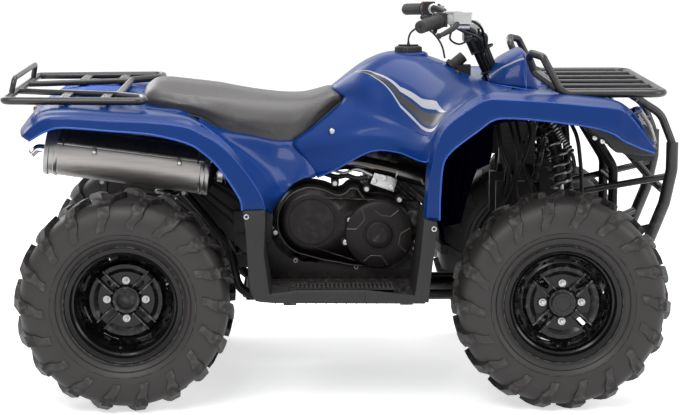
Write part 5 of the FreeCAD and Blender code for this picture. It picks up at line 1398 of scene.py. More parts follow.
def silencer_shield():
    """The black half shell over the can, with a bright rolled edge, a pressed ridge and its clips."""
    reach, axis = CAN_LENGTH, CAN_AXIS
    side = Vector((0, -1, 0))
    up = side.cross(axis).normalized()
    if up.z < 0:
        up = -up
    shape = Shape()

    def at(distance, degrees, radius):
        a = radians(degrees)
        return can_point(distance) + (side * cos(a) + up * sin(a)) * radius

    def low_edge(distance):
        return 27 - 2 * distance / reach

    rows = []
    for distance, radius in ((0.034, 0.0735), (0.037, 0.0755), (0.06, 0.0768), (reach * 0.5, 0.077),
            (reach - 0.06, 0.0768), (reach - 0.038, 0.0755), (reach - 0.035, 0.0735)):
        row = []
        for k in range(33):
            degrees = low_edge(distance) + (158 - low_edge(distance)) * k / 32
            bead = 0.0022 * exp(-((degrees - 62) / 5.0) ** 2) + 0.0022 * exp(-((degrees - 118) / 5.0) ** 2)
            row.append(at(distance, degrees, radius + bead))
        rows.append(row)
    shape.grid(rows)
    make_piece("silencer_shield", shape, ["shield"], ["heat_shield"], crease=40, solid=0.0015)
    trim = Shape()
    trim.tube([at(0.036 + (reach - 0.072) * k / 12, low_edge(0.036 + (reach - 0.072) * k / 12) - 0.4, 0.0765)
        for k in range(13)], 0.0017, 8)
    trim.tube([at(0.06 + (reach - 0.12) * k / 12, 63, 0.0792) for k in range(13)], 0.0013, 8, 1)
    for distance in (0.105, reach - 0.14):
        edge = low_edge(distance)
        spot = at(distance, edge - 6, 0.0735)
        trim.block(spot - Vector((0.006, 0.0045, 0.01)), spot + Vector((0.006, 0.0045, 0.01)), 0.002, 1)
        trim.bolt(spot + Vector((0, -0.004, -0.004)), (0, -1, -0.2), 0.0036, 0.003)
    for distance in (0.052, reach - 0.052):
        trim.tube([at(distance, 20 + 140 * k / 24, 0.0785) for k in range(25)], 0.0022, 8, 1)
    make_piece("shield_trim", trim, ["satin_silver", "shield"])


def head_pipe():
    """The bright pipe and its sleeve between the cylinder and the silencer, and the pipe's clamp."""
    shape = Shape()
    route = [(0.205, -0.06, 0.64), (0.235, -0.16, 0.612), (0.15, -0.165, 0.634), (0.0, -0.165, 0.668),
        (-0.262, -0.16, 0.64), can_point(-0.03), can_point(0.001)]
    sleeve = [(0.238, -0.13, 0.617), (0.236, -0.166, 0.616), (0.15, -0.167, 0.64),
        (0.0, -0.167, 0.672), (-0.07, -0.167, 0.663)]
    for line, radius in ((route, 0.019), (sleeve, 0.0262)):
        shape.tube(bent_line(line, 0.03, 8), radius, 28)
    for p, q in (((0.15, -0.167, 0.634), (0.146, -0.167, 0.635)),
            ((-0.066, -0.167, 0.6615), (-0.074, -0.167, 0.6606)), (can_point(-0.02), can_point(-0.006))):
        shape.rod(p, q, 0.028, None, 28, 1)
    make_piece("head_pipe", shape, ["pipe_steel", "satin_silver"], ["exhaust_pipe"])


class QUAD_OT_exhaust(bpy.types.Operator):
    """Builds the silencer, its shield and the bright head pipe"""

    bl_idname = "quad.exhaust"
    bl_label = "Exhaust"

    def execute(self, context):
        silencer_can()
        silencer_shield()
        head_pipe()
        return {"FINISHED"}


# Suspension and hoses


def coil_line(top, bottom, radius, turns, steps=22):
    """A helix between two points."""
    top, bottom = Vector(top), Vector(bottom)
    along = bottom - top
    side, up = ends_of(along)
    line = []
    for k in range(int(turns * steps) + 1):
        t = k / (turns * steps)
        # the end turns lie closer together, as they do where a spring is ground flat
        place = t + 0.035 * sin(TURN * t)
        a = TURN * turns * t
        line.append(top + along * place + (side * cos(a) + up * sin(a)) * radius)
    return line


def damper(shape, top, bottom, radius, wire, turns):
    """A damper with its spring, its collars, its adjuster and its eyes."""
    top, bottom = Vector(top), Vector(bottom)
    along = (bottom - top).normalized()
    reach = (bottom - top).length
    shape.spun(top, along, [(0.012, 0.0001), (0.012, 0.016), (0.022, 0.0185), (reach * 0.55, 0.0185),
        (reach * 0.555, 0.0165), (reach * 0.56, 0.0001)], 28, 1)
    shape.spun(top, along, [(reach * 0.5, 0.0078), (reach - 0.01, 0.0078)], 20, 2)
    for start, flip in ((0.024, 1), (reach - 0.04, -1)):
        shape.spun(top, along, [(start, 0.0001), (start, radius + wire - 0.003),
            (start + flip * 0.003, radius + wire), (start + flip * 0.01, radius + wire),
            (start + flip * 0.013, radius - wire), (start + flip * 0.016, 0.0001)], 36, 1)
    shape.spun(top, along, [(reach - 0.046, 0.0001), (reach - 0.046, 0.016), (reach - 0.04, 0.0185),
        (reach - 0.02, 0.0165), (reach - 0.016, 0.0001)], 28, 1)
    shape.tube(coil_line(top + along * (0.036 + wire), top + along * (reach - 0.052 - wire), radius, turns),
        wire, 10)
    for spot in (top, bottom):
        shape.turned(spot, (0, 1, 0),
            [(-14, 8.5), (-14, 14.5), (-12, 15.5), (12, 15.5), (14, 14.5), (14, 8.5), (-14, 8.5)], 28, 1)
        shape.bolt(spot + Vector((0, -0.0145, 0)), (0, -1, 0), 0.006, 0.005, 2)
        shape.bolt(spot + Vector((0, 0.0145, 0)), (0, 1, 0), 0.006, 0.005, 2)


# radius, finish and points of each hose, in millimetres
HOSES = (
    (6.5, 0, ((445, -150, 800), (452, -185, 720), (478, -190, 640), (470, -150, 560), (455, -120, 480))),
    (5, 0, ((470, -140, 810), (490, -195, 740), (500, -200, 660), (486, -180, 590), (470, -140, 540))),
    (4.5, 1, ((500, -130, 800), (512, -190, 720), (520, -190, 650), (548, -170, 560), (560, -130, 500))),
    (4, 0, ((520, -120, 815), (540, -180, 760), (530, -200, 700), (500, -190, 610), (520, -140, 520))),
    (6, 0, ((640, -120, 815), (676, -170, 750), (690, -175, 670), (700, -150, 580), (706, -125, 500))),
    (8, 0, ((-340, -150, 640), (-320, -170, 560), (-330, -165, 470), (-300, -140, 400))),
    (5, 1, ((-400, -150, 620), (-360, -175, 540), (-350, -160, 450), (-330, -130, 390))),
)


def build_dampers():
    """The front and rear dampers."""
    front = Shape()
    damper(front, (0.603, -0.165, 0.8), (0.653, -0.232, 0.452), 0.0285, 0.0062, 8)
    front.mirror()
    make_piece("front_dampers", front, ["spring", "frame_paint", "silver_spring"],
        ["front_shocks"], weld=False)
    rear = Shape()
    damper(rear, (-0.5, 0, 0.7), (-0.57, 0, 0.438), 0.032, 0.0068, 6)
    make_piece("rear_damper", rear, ["spring", "frame_paint", "silver_spring"],
        ["rear_shock"], weld=False)


def build_hoses():
    """The hoses beside the radiator and the engine."""
    hoses = Shape()
    for radius, material, line in HOSES:
        hoses.tube(smooth_line(metres(line), 7), metres(radius), 10, material)
    hoses.mirror()
    make_piece("hoses", hoses, ["soft_rubber", "frame_paint"], crease=40)


def build_side_boxes():
    """Boxes, tubes and louvres inside the front frame and under the tank."""
    inner = Shape()
    for x0, z0, x1, z1, y in ((0.56, 0.6, 0.6, 0.79, -0.128), (0.5, 0.62, 0.56, 0.8, -0.122)):
        inner.rod((x0, y, z0), (x1, y, z1), 0.009, None, 14)
    inner.block((0.455, -0.128, 0.655), (0.56, -0.098, 0.78), 0.01, 1)
    inner.block((0.58, -0.118, 0.5), (0.66, -0.09, 0.64), 0.008, 1)
    inner.block((0.448, -0.12, 0.47), (0.54, -0.092, 0.6), 0.01, 1)
    for k in range(6):
        z = 0.675 + 0.017 * k
        inner.block((0.462, -0.1305, z), (0.553, -0.127, z + 0.006), 0.001, 1)
    inner.mirror()
    inner.block((0.02, -0.112, 0.672), (0.13, -0.07, 0.76), 0.01, 1)
    inner.block((0.128, -0.13, 0.604), (0.262, -0.08, 0.764), 0.01, 1)
    for k in range(5):
        inner.tube([(0.15 + 0.018 * k, -0.133, 0.7), (0.188 + 0.018 * k, -0.134, 0.655)], 0.0022, 8)
    make_piece("radiator_side_boxes", inner, ["frame_paint", "black_plastic"])


class QUAD_OT_springs(bpy.types.Operator):
    """Builds the dampers with their springs, and the hoses beside them"""

    bl_idname = "quad.springs"
    bl_label = "Springs and hoses"

    def execute(self, context):
        build_dampers()
        build_hoses()
        build_side_boxes()
        return {"FINISHED"}


# Controls, lamps and trim


def bar_point(side, distance, rise=0.0, ahead=0.0):
    """A point near the handlebar's end, measured in from the end."""
    end, bend = Vector((0.205, side * 0.402, 1.08)), Vector((0.285, side * 0.235, 1.092))
    return end + (bend - end).normalized() * distance + Vector((ahead, 0, rise))


def grip(shape, side):
    """A ribbed rubber grip with its flange and the small hole in its end."""
    start, axis = bar_point(side, 0), (bar_point(side, 0.1) - bar_point(side, 0)).normalized()
    profile = [(-0.0035, 0.0032), (-0.0045, 0.0045), (-0.0045, 0.015), (-0.0025, 0.018), (0.004, 0.0185)]
    for k in range(9):
        place = 0.01 + 0.0112 * k
        profile += [(place, 0.0182), (place + 0.0015, 0.0163), (place + 0.0045, 0.0163),
            (place + 0.006, 0.0182)]
    profile += [(0.112, 0.018), (0.1145, 0.0225), (0.119, 0.0225), (0.12, 0.0205), (0.12, 0.0118)]
    shape.spun(start, axis, profile, 32)
    shape.turned(start, axis, [(-1.5, 3.6), (-1.5, 0.1)], 12, 1)
    up, across = ends_of(axis)
    for k in range(8):
        a = TURN * k / 8
        out = up * cos(a) + across * sin(a)
        shape.rod(start + axis * 0.012 + out * 0.0171, start + axis * 0.1 + out * 0.0171, 0.0012, None, 6)


def lever(shape, side):
    """A brake lever in front of a grip, with its perch and, on the right, its fluid tank."""
    knee = bar_point(side, 0.15, -0.006, 0.046)
    line = smooth_line([bar_point(side, 0.158, -0.002, 0.026), knee, bar_point(side, 0.105, -0.014, 0.056),
        bar_point(side, 0.05, -0.022, 0.052), bar_point(side, 0.006, -0.026, 0.048)], 6)
    radii = [0.0062 + 0.0018 * sin(pi * k / (len(line) - 1)) for k in range(len(line))]
    shape.tube(line, radii, 12)
    end = line[-1] + (line[-1] - line[-2]).normalized() * 0.004
    shape.tube([line[-2], line[-1], end], [0.0062, 0.0088, 0.008], 12)
    shape.block(bar_point(side, 0.16, -0.012, 0.006) - Vector((0, 0.014, 0)),
        bar_point(side, 0.16, 0.01, 0.04) + Vector((0, 0.014, 0)), 0.004, 1)
    if side == RIGHT:
        y = side * 0.262
        shape.block((0.306, y - 0.02, 1.08), (0.356, y + 0.02, 1.108), 0.005, 1)
        shape.block((0.304, y - 0.022, 1.106), (0.358, y + 0.022, 1.112), 0.002, 1)
        shape.rod((0.3, y, 1.072), (0.352, y, 1.07), 0.009, 0.008, 20, 1)
    shape.bolt(bar_point(side, 0.16, 0.01, 0.024), (0, 0, 1), 0.0048, 0.005)


# radius and points of the cables behind the bars, in millimetres
CABLES = metres((
    (4.2, ((345, -205, 1086), (378, -150, 1075), (404, -85, 1050),
           (420, -36, 995), (448, -24, 925), (460, -16, 899))),
    (4.2, ((300, -255, 1074), (345, -190, 1050), (392, -100, 1026),
           (406, -40, 985), (432, -28, 925), (446, -22, 899))),
    (3.8, ((300, 250, 1076), (350, 170, 1066), (400, 80, 1044),
           (424, 34, 990), (448, 24, 925), (462, 16, 898))),
    (3.8, ((320, 225, 1080), (372, 120, 1060), (398, 50, 1020),
           (410, 34, 970), (438, 24, 920), (452, 16, 898))),
    (4.8, ((398, -12, 1036), (414, -30, 1005), (424, -33, 965),
           (444, -24, 920), (456, -14, 898))),
))
THROTTLE_LEAD = metres(((302, -262, 1064), (298, -246, 1034), (328, -200, 1016), (364, -142, 1026),
    (386, -100, 1034), (405, -52, 1006), (415, -30, 976)))


def build_grips():
    """The grips of both sides."""
    grips = Shape()
    for side in (RIGHT, LEFT):
        grip(grips, side)
    make_piece("grips_ribbed", grips, ["grip_rubber", "soft_rubber"], ["grips"],
        body="steering", weld=False)


def build_hand_controls():
    """Levers, collars, the throttle's case, the switches and the fluid box."""
    shape = Shape()
    for side in (RIGHT, LEFT):
        lever(shape, side)
        axis = (bar_point(side, 0.1) - bar_point(side, 0)).normalized()
        shape.turned(bar_point(side, 0.124), axis,
            [(0, 11.8), (1, 20.5), (3, 21.5), (22, 21.5), (24, 20.5), (24, 11.8)], 36)
        shape.turned(bar_point(side, 0.168), axis, [(0, 11.8), (0.5, 16), (10, 16), (10.5, 11.8)], 32, 1)
    # the thumb throttle's case and its lever
    low, high = bar_point(RIGHT, 0.138, -0.017, -0.02), bar_point(RIGHT, 0.138, 0.0205, 0.022)
    shape.block(low - Vector((0, 0.016, 0)), high + Vector((0, 0.016, 0)), 0.005)
    shape.block(bar_point(RIGHT, 0.138, 0.02, -0.016) - Vector((0, 0.013, 0)),
        bar_point(RIGHT, 0.138, 0.0225, 0.018) + Vector((0, 0.013, 0)), 0.0012)
    for ahead, across in ((-0.012, -0.009), (0.014, 0.009)):
        shape.bolt(bar_point(RIGHT, 0.138, 0.0225, ahead) + Vector((0, across, 0)),
            (0, 0, 1), 0.0024, 0.002, 1)
    thumb = smooth_line([bar_point(RIGHT, 0.13, -0.014, -0.008), bar_point(RIGHT, 0.112, -0.026, -0.004),
        bar_point(RIGHT, 0.09, -0.028, 0.002)], 6)
    shape.tube(thumb, [0.0045 + 0.0035 * sin(pi * k / (len(thumb) - 1)) for k in range(len(thumb))], 10)
    # switches on the left
    shape.block(bar_point(LEFT, 0.146, -0.018, -0.02) - Vector((0, 0.016, 0)),
        bar_point(LEFT, 0.146, 0.022, 0.018) + Vector((0, 0.016, 0)), 0.005)
    for rise, material in ((0.01, 2), (-0.006, 0)):
        shape.block(bar_point(LEFT, 0.146, rise - 0.004, -0.0235) - Vector((0, 0.007, 0)),
            bar_point(LEFT, 0.146, rise + 0.004, -0.018) + Vector((0, 0.007, 0)), 0.0015, material)
    # the brake fluid's box beside the right lever
    middle = bar_point(RIGHT, 0.15, 0, 0.034)
    shape.block((middle.x - 0.02, middle.y - 0.006, 1.084),
        (middle.x + 0.024, middle.y + 0.044, 1.1065), 0.004, 1)
    shape.block((middle.x - 0.022, middle.y - 0.008, 1.1065),
        (middle.x + 0.026, middle.y + 0.046, 1.113), 0.0025, 3)
    for x, y in ((-0.016, 0.0), (0.02, 0.0), (-0.016, 0.038), (0.02, 0.038)):
        shape.turned((middle.x + x, middle.y + y, 1.1128), (0, 0, 1), [(0, 3), (1, 2.6), (1, 0.1)], 12, 1)
    make_piece("hand_controls_dressed", shape,
        ["black_plastic", "satin_silver", "red_lens", "grey_plastic"], ["hand_controls"],
        body="steering", weld=False)


def build_bar_clamp():
    """The clamp that holds the handlebar."""
    clamp = Shape()
    clamp.block((0.352, -0.04, 1.05), (0.404, 0.04, 1.064), 0.005)
    for x in (0.36, 0.396):
        for y in (-0.03, 0.03):
            clamp.bolt((x, y, 1.064), (0, 0, 1), 0.0055, 0.006)
    for y in (-0.052, 0.052):
        clamp.rod((0.378, y - 0.005, 1.042), (0.378, y + 0.005, 1.042), 0.015, None, 24)
    make_piece("bar_clamp", clamp, ["satin_silver"], body="steering")


def build_cables():
    """The cables behind the bars and the thin throttle lead."""
    cables = Shape()
    for radius, points in CABLES:
        cables.tube(smooth_line(points, 7), radius, 10)
    for x, z in ((0.412, 0.985), (0.442, 0.925)):
        cables.turned((x, 0, z), (0.42, 0, -0.91),
            [(-3, 35.2), (0, 37.2), (3, 35.2), (3, 33.5), (-3, 33.5), (-3, 35.2)], 36)
    make_piece("cable_loom", cables, ["soft_rubber"], body="steering", crease=40, weld=False)
    lead = Shape()
    lead.tube(smooth_line(THROTTLE_LEAD, 8), 0.003, 10)
    make_piece("throttle_lead", lead, ["soft_rubber"], body="steering", crease=40, weld=False)


class QUAD_OT_controls(bpy.types.Operator):
    """Builds the grips, levers, housings, cables and the clamp on the bars"""

    bl_idname = "quad.controls"
    bl_label = "Controls"

    def execute(self, context):
        build_grips()
        build_hand_controls()
        build_bar_clamp()
        build_cables()
        return {"FINISHED"}


# The filler cap as (height, radius), and the points of its vent hose, in millimetres
CAP_PROFILE = ((0, 33), (18, 33.5), (20, 38.5), (24, 40), (40, 39.5), (44.5, 36.5), (45.5, 30), (43, 28),
               (43, 0.1))
VENT_HOSE = metres(((190, 0, 1000), (191, 0, 1020), (200, 0, 1038), (222, 0, 1050), (250, 0, 1044),
                    (276, 0, 1020), (292, 0, 992), (300, 0, 958)))


class QUAD_OT_filler(bpy.types.Operator):
    """Builds the filler cap with its vent hose, and the key switch"""

    bl_idname = "quad.filler"
    bl_label = "Filler cap"

    def execute(self, context):
        shape = Shape()
        shape.turned((0.19, 0, 0.95), (0, 0, 1), CAP_PROFILE, 64)
        for k in range(24):
            a = TURN * k / 24
            out = Vector((cos(a), sin(a), 0))
            shape.rod(Vector((0.19, 0, 0.975)) + out * 0.0392,
                Vector((0.19, 0, 0.9915)) + out * 0.0386, 0.0024, None, 8)
        shape.block((0.16, -0.006, 0.9925), (0.22, 0.006, 0.9995), 0.003)
        shape.rod((0.19, 0, 0.995), (0.19, 0, 1.006), 0.0052, 0.004, 14)
        shape.tube(smooth_line(VENT_HOSE, 7), 0.0029, 12, 1)
        collar_ring = ((0, 60), (8, 57), (12, 50), (12, 44), (6, 41))
        shape.turned((0.19, 0, 0.966), (0, 0, 1), collar_ring, 48, 2)
        lock, lean = (0.316, -0.062, 0.938), (0.72, 0.1, 0.62)
        collar = ((-6, 0.1), (-6, 18), (-3, 23.5), (8, 24), (10, 20), (12, 17.5))
        shape.turned(lock, lean, collar, 36, 1)
        shape.turned(lock, lean, ((12, 17.5), (46, 16.5), (48, 14), (50, 0.1)), 36)
        shape.block((0.318, -0.08, 0.912), (0.372, -0.04, 0.944), 0.007, 1)
        make_piece("filler_cap", shape, ["black_plastic", "soft_rubber", "blue_plastic"],
            ["fuel_cap"], weld=False)
        return {"FINISHED"}


HEADLAMP = metres((
    ((800, -448, 838), (818, -453, 814), (836, -447, 784), (850, -440, 760)),
    ((812, -442, 844), (836, -442, 816), (853, -437, 783), (862, -430, 756)),
    ((824, -418, 847), (849, -415, 812), (862, -411, 781), (870, -406, 753)),
    ((832, -375, 847), (857, -375, 811), (870, -375, 780), (878, -375, 751)),
    ((832, -325, 845), (858, -325, 809), (871, -325, 779), (879, -325, 750)),
    ((826, -285, 838), (851, -285, 803), (864, -285, 776), (872, -285, 748)),
))


def build_headlamps():
    """The lenses with their bowls, rims and bulbs."""
    lens = Shape()
    surface = lens.skin(HEADLAMP, 6, 5)
    lens.mirror()
    make_piece("headlamp_lens", lens, ["lens_glass"], ["headlamps"], crease=60, solid=0.0025)
    inside = Shape()
    back = [[p + Vector((-0.016, 0.008, -0.004)) for p in column] for column in surface]
    inside.grid(back)
    for line in (surface[0], surface[-1], [c[0] for c in surface], [c[-1] for c in surface]):
        inside.tube([p + Vector((-0.001, 0.001, -0.001)) for p in line], 0.0036, 8, 1)
    middle, ahead = (0.842, -0.352, 0.794), (0.9, 0, -0.12)
    inside.turned(middle, ahead, ((-4, 0.1), (-3, 10), (6, 26), (14, 34.5), (15.5, 36)), 40, 2)
    inside.turned(middle, ahead, ((0, 8), (12, 7), (14.5, 0.1)), 20, 3)
    inside.turned((0.832, -0.408, 0.806), (0.8, -0.4, 0), [(0, 0.1), (4, 12), (10, 16.5)], 28, 2)
    inside.mirror()
    make_piece("headlamp_bowls", inside,
        ["lens_back", "blue_plastic", "reflector", "steel"], crease=40)


def build_guarded_hoses():
    """The coiled hoses above the front wheels."""
    hose = Shape()
    for side in (1, -1):
        top, low, end = (0.59, 0.3 * side, 0.8), (0.646, 0.3 * side, 0.712), (0.659, 0.3 * side, 0.652)
        hose.tube(smooth_line([top, low, end], 6), 0.0055, 12, 1)
        hose.tube(coil_line(top, low, 0.0088, 11, 14), 0.003, 8)
    make_piece("guarded_hoses", hose, ["silver_spring", "frame_paint"], crease=50, weld=False)


def build_tail_lamp():
    """The ribbed red lens and its base."""
    tail = Shape()
    tail.block((-0.9275, -0.075, 0.797), (-0.906, 0.075, 0.822), 0.006)
    for k in range(11):
        y = -0.06 + 0.012 * k
        tail.block((-0.9285, y - 0.0018, 0.801), (-0.9265, y + 0.0018, 0.818), 0.0006)
    tail.block((-0.912, -0.08, 0.794), (-0.9, 0.08, 0.825), 0.004, 1)
    make_piece("tail_lamp_lens", tail, ["red_lens", "black_plastic"], ["tail_lamp"])


class QUAD_OT_lamps(bpy.types.Operator):
    """Builds the headlamps and the tail lamp"""

    bl_idname = "quad.lamps"
    bl_label = "Lamps"

    def execute(self, context):
        build_headlamps()
        build_guarded_hoses()
        build_tail_lamp()
        return {"FINISHED"}


# Outlines in x and z, in millimetres
REAR_LEG = metres(((-294, 579.5), (-233, 579.5), (-231, 560), (-235.5, 455), (-222, 352), (-213, 318),
    (-248, 320.5), (-266, 331), (-276, 352), (-281, 400), (-287, 515)))
FRONT_LEG = metres(((209, 552), (247, 547), (241.5, 483), (230, 380), (224.5, 316), (180, 326), (187, 352),
    (200, 453)))
SILL = metres(((-262, 323.5), (-213, 317.5), (215, 314), (215, 332), (190, 337), (45, 352.5), (-143, 352.5),
    (-220, 342), (-256, 345)))
SPLASH_GUARD = metres(((-246, 325), (-246, 560), (-226, 540), (-218, 452), (-200, 421), (-169, 396),
    (-126, 383), (-21, 376), (40, 372), (115, 362), (175, 368), (197, 400), (206, 463), (214, 545),
    (230, 545), (218, 325)))


def build_splash_guards():
    """The thin walls inside the footwells, and the mats."""
    dark = Shape()
    dark.prism(SPLASH_GUARD, -0.242, -0.238, 0.0012)
    dark.block((-0.236, -0.5, 0.33), (0.196, -0.242, 0.3322), 0.0004)
    dark.mirror()
    make_piece("splash_guards", dark, ["cover_paint"])


def build_footwells():
    """The leg guards, the sills and the floors with their ribs."""
    shape = Shape()
    shape.prism(REAR_LEG, -0.52, -0.495, 0.0045)
    shape.prism(FRONT_LEG, -0.52, -0.495, 0.0045)
    for leg, thick in ((REAR_LEG, 0.02), (FRONT_LEG, 0.016)):
        inner = leg[1:6] if leg is REAR_LEG else [leg[0], leg[7], leg[6], leg[5]]
        away = thick if leg is FRONT_LEG else -thick
        outline = inner + [(x + away, z) for x, z in inner[::-1]]
        shape.prism(outline, -0.508, -0.238, 0.003)
    shape.prism(SILL, -0.519, -0.502, 0.003)
    shape.block((-0.245, -0.504, 0.319), (0.205, -0.24, 0.33), 0.002)
    for k in range(10):
        x = -0.226 + 0.045 * k
        shape.block((x, -0.436, 0.328), (x + 0.01, -0.25, 0.3345), 0.002)
    shape.prism([(-0.29, 0.575), (-0.222, 0.575), (-0.214, 0.52), (-0.222, 0.44), (-0.282, 0.44)],
        -0.262, -0.255, 0.003)
    shape.mirror()
    make_piece("footwell_mouldings", shape, ["black_plastic"], ["footwells"])


def build_sill_marks():
    """The short marks and the joints along the sills."""
    marks = Shape()
    for k in range(15):
        x = -0.205 + 0.0282 * k
        marks.block((x, -0.5196, 0.315), (x + 0.0022, -0.5186, 0.3225), 0.0004)
    for x in (-0.143, 0.045):
        marks.block((x, -0.5196, 0.318), (x + 0.0016, -0.5186, 0.351), 0.0004)
    marks.mirror()
    make_piece("sill_marks", marks, ["soft_rubber"])


class QUAD_OT_footwells(bpy.types.Operator):
    """Builds the leg guards, the sills, the floors and the splash guards"""

    bl_idname = "quad.footwells"
    bl_label = "Footwells"

    def execute(self, context):
        build_splash_guards()
        build_footwells()
        build_sill_marks()
        return {"FINISHED"}


MUDGUARD = metres((
    ((268, -485, 486), (268, -400, 486), (268, -300, 486), (268, -170, 486)),
    ((262, -488, 590), (262, -400, 590), (262, -300, 590), (262, -160, 590)),
    ((268, -490, 690), (272, -400, 694), (276, -300, 696), (282, -155, 700)),
    ((300, -492, 755), (308, -400, 765), (315, -300, 770), (322, -155, 775)),
    ((360, -494, 802), (366, -400, 820), (372, -300, 826), (378, -155, 830)),
    ((440, -496, 826), (440, -400, 852), (440, -300, 858), (440, -155, 862)),
))
GUARD_WALL = metres(((268, 486), (330, 500), (356, 602), (378, 660), (412, 673), (420, 705), (424, 800),
    (424, 845), (372, 822), (314, 768), (274, 694), (262, 590)))
NOSE_PANEL = metres(((672, 812), (676, 798), (689, 782), (726, 764), (744, 737), (753, 730), (835, 723),
    (862, 723), (872, 734), (860, 745), (800, 770), (740, 800)))
INNER_SHIELD = metres(((-520, 660), (-440, 648), (-380, 622), (-300, 575), (-256, 548), (-250, 470),
    (-262, 415), (-300, 402), (-352, 455), (-420, 545), (-500, 625)))

# Screws of the panels as (height, radius), in millimetres
GUARD_SCREW = ((-4, 8.5), (10, 8.5), (11.8, 7.2), (12.5, 5), (10.8, 3.6), (10.8, 0.1))
PANEL_SOCKET = ((-6, 11.5), (1.5, 11.5), (2, 9.5))
PANEL_SCREW = ((-2, 8.8), (3, 8.2), (4.2, 6), (3.4, 3.2), (3.4, 0.1))
NOSE_SCREW = ((-4, 7), (3, 6.6), (4.5, 4), (4.5, 0.1))


def build_inner_guards():
    """The guards behind the front wheels, near black: a painted shade inside the wheel arches."""
    guard = Shape()
    guard.skin(MUDGUARD, 6, 6)
    guard.prism(GUARD_WALL, -0.262, -0.258, 0.001)
    for x0, z0, x1, z1 in ((0.3, 0.52, 0.318, 0.745), (0.335, 0.56, 0.36, 0.79)):
        guard.tube([(x0, -0.263, z0), (x1, -0.263, z1)], 0.0035, 8)
    guard.mirror()
    make_piece("inner_guards", guard, ["inner_plastic"],
        ["front_mudguards"], crease=50, solid=0.003)


def build_panel_screws():
    """Screws of the leg guards, the tank cover and the nose."""
    screws = Shape()
    for place, head, steps, material in (
            ((-0.284, -0.5085, 0.563), GUARD_SCREW, 24, 0),
            ((0.238, -0.5085, 0.527), GUARD_SCREW, 24, 0),
            ((-0.042, -0.2075, 0.763), PANEL_SOCKET, 28, 1),
            ((-0.042, -0.2075, 0.763), PANEL_SCREW, 24, 0),
            ((0.691, -0.452, 0.773), NOSE_SCREW, 20, 0),
            ((0.713, -0.452, 0.763), NOSE_SCREW, 20, 0)):
        screws.turned(place, (0, -1, 0), head, steps, material)
    screws.mirror()
    make_piece("panel_screws", screws, ["satin_silver", "blue_plastic"])


def build_nose_panel():
    """The dark panel under the nose."""
    panel = Shape()
    panel.prism(NOSE_PANEL, -0.448, -0.362, 0.004)
    panel.mirror()
    make_piece("nose_under_panel", panel, ["black_plastic"])


def build_footwell_ribs():
    """The teeth and side bars of the foot pegs."""
    pegs = Shape()
    for k in range(23):
        x = -0.146 + 0.012 * k
        pegs.prism([(x, 0.3505), (x + 0.009, 0.3505), (x + 0.0075, 0.361), (x + 0.0015, 0.361)],
            -0.499, -0.441, 0.0006)
    for y in (-0.4985, -0.4415):
        pegs.block((-0.15, y - 0.0015, 0.345), (0.131, y + 0.0015, 0.3555), 0.001)
    pegs.mirror()
    make_piece("footwell_ribs", pegs, ["black_plastic"])


def build_inner_shields():
    """The ribbed shields in front of the rear wheels."""
    shield = Shape()
    shield.prism(INNER_SHIELD, -0.205, -0.198, 0.003)
    for x0, z0, x1, z1 in ((-0.48, 0.64, -0.262, 0.47), (-0.44, 0.64, -0.262, 0.52),
            (-0.4, 0.626, -0.264, 0.545), (-0.505, 0.64, -0.27, 0.44)):
        shield.tube([(x0, -0.208, z0), (x1, -0.208, z1)], 0.0042, 8)
    shield.block((-0.33, -0.225, 0.47), (-0.27, -0.205, 0.53), 0.006)
    shield.mirror()
    make_piece("rear_inner_shields", shield, ["black_plastic"], crease=40)


def build_rack_fixings():
    """Bolts and brackets of the racks."""
    fixings = Shape()
    for side in (RIGHT, LEFT):
        for x in (-0.808, -0.69):
            fixings.bolt((x, side * 0.3, 0.8755), (0, 0, 1), 0.0055, 0.005, 1)
            fixings.block((x - 0.006, side * 0.352 - 0.005, 0.848),
                (x + 0.006, side * 0.352 + 0.005, 0.87), 0.0015, 1)
            fixings.bolt((x, side * 0.352 - 0.006, 0.857), (0, -1, 0), 0.0042, 0.004, 1)
        for x in (0.65, 0.74):
            fixings.bolt((x, side * 0.139, 0.868), (0, side, 0), 0.005, 0.005, 1)
    make_piece("rack_fixings", fixings, ["rack_paint", "satin_silver"])


class QUAD_OT_trim(bpy.types.Operator):
    """Builds the inner guards, the screws, the foot pegs' teeth and the rack fixings"""

    bl_idname = "quad.trim"
    bl_label = "Guards and trim"

    def execute(self, context):
        build_inner_guards()
        build_panel_screws()
        build_nose_panel()
        build_footwell_ribs()
        build_inner_shields()
        build_rack_fixings()
        return {"FINISHED"}


# Stage


def seen_or_mirrored(tree):
    """One where the camera sees a surface, also in a mirror or through glass."""
    path = tree.nodes.new("ShaderNodeLightPath")
    bounced = sum_of(tree, "MAXIMUM", path.outputs["Is Glossy Ray"], path.outputs["Is Transmission Ray"])
    return sum_of(tree, "MAXIMUM", path.outputs["Is Camera Ray"], bounced)


def build_floor():
    """A white floor that takes the shadows."""
    bpy.ops.mesh.primitive_plane_add(size=60, location=(0, 0, 0))
    floor = bpy.context.object
    floor.name = "floor"
    material = bpy.data.materials.new("floor_white")
    material.use_nodes = True
    tree = material.node_tree
    shader = tree.nodes["Principled BSDF"]
    shader.inputs["Base Color"].default_value = (0.8, 0.8, 0.8, 1)
    shader.inputs["Roughness"].default_value = 0.9
    shader.inputs["Specular IOR Level"].default_value = 0.0
    # the floor shows white to the camera and in what mirrors it, and still takes the shadows
    seen = seen_or_mirrored(tree)
    glow = tree.nodes.new("ShaderNodeEmission")
    tree.links.new(sum_of(tree, "MULTIPLY", seen, 0.62), glow.inputs["Strength"])
    both = tree.nodes.new("ShaderNodeAddShader")
    tree.links.new(shader.outputs[0], both.inputs[0])
    tree.links.new(glow.outputs[0], both.inputs[1])
    tree.links.new(both.outputs[0], tree.nodes["Material Output"].inputs["Surface"])
    floor.data.materials.append(material)


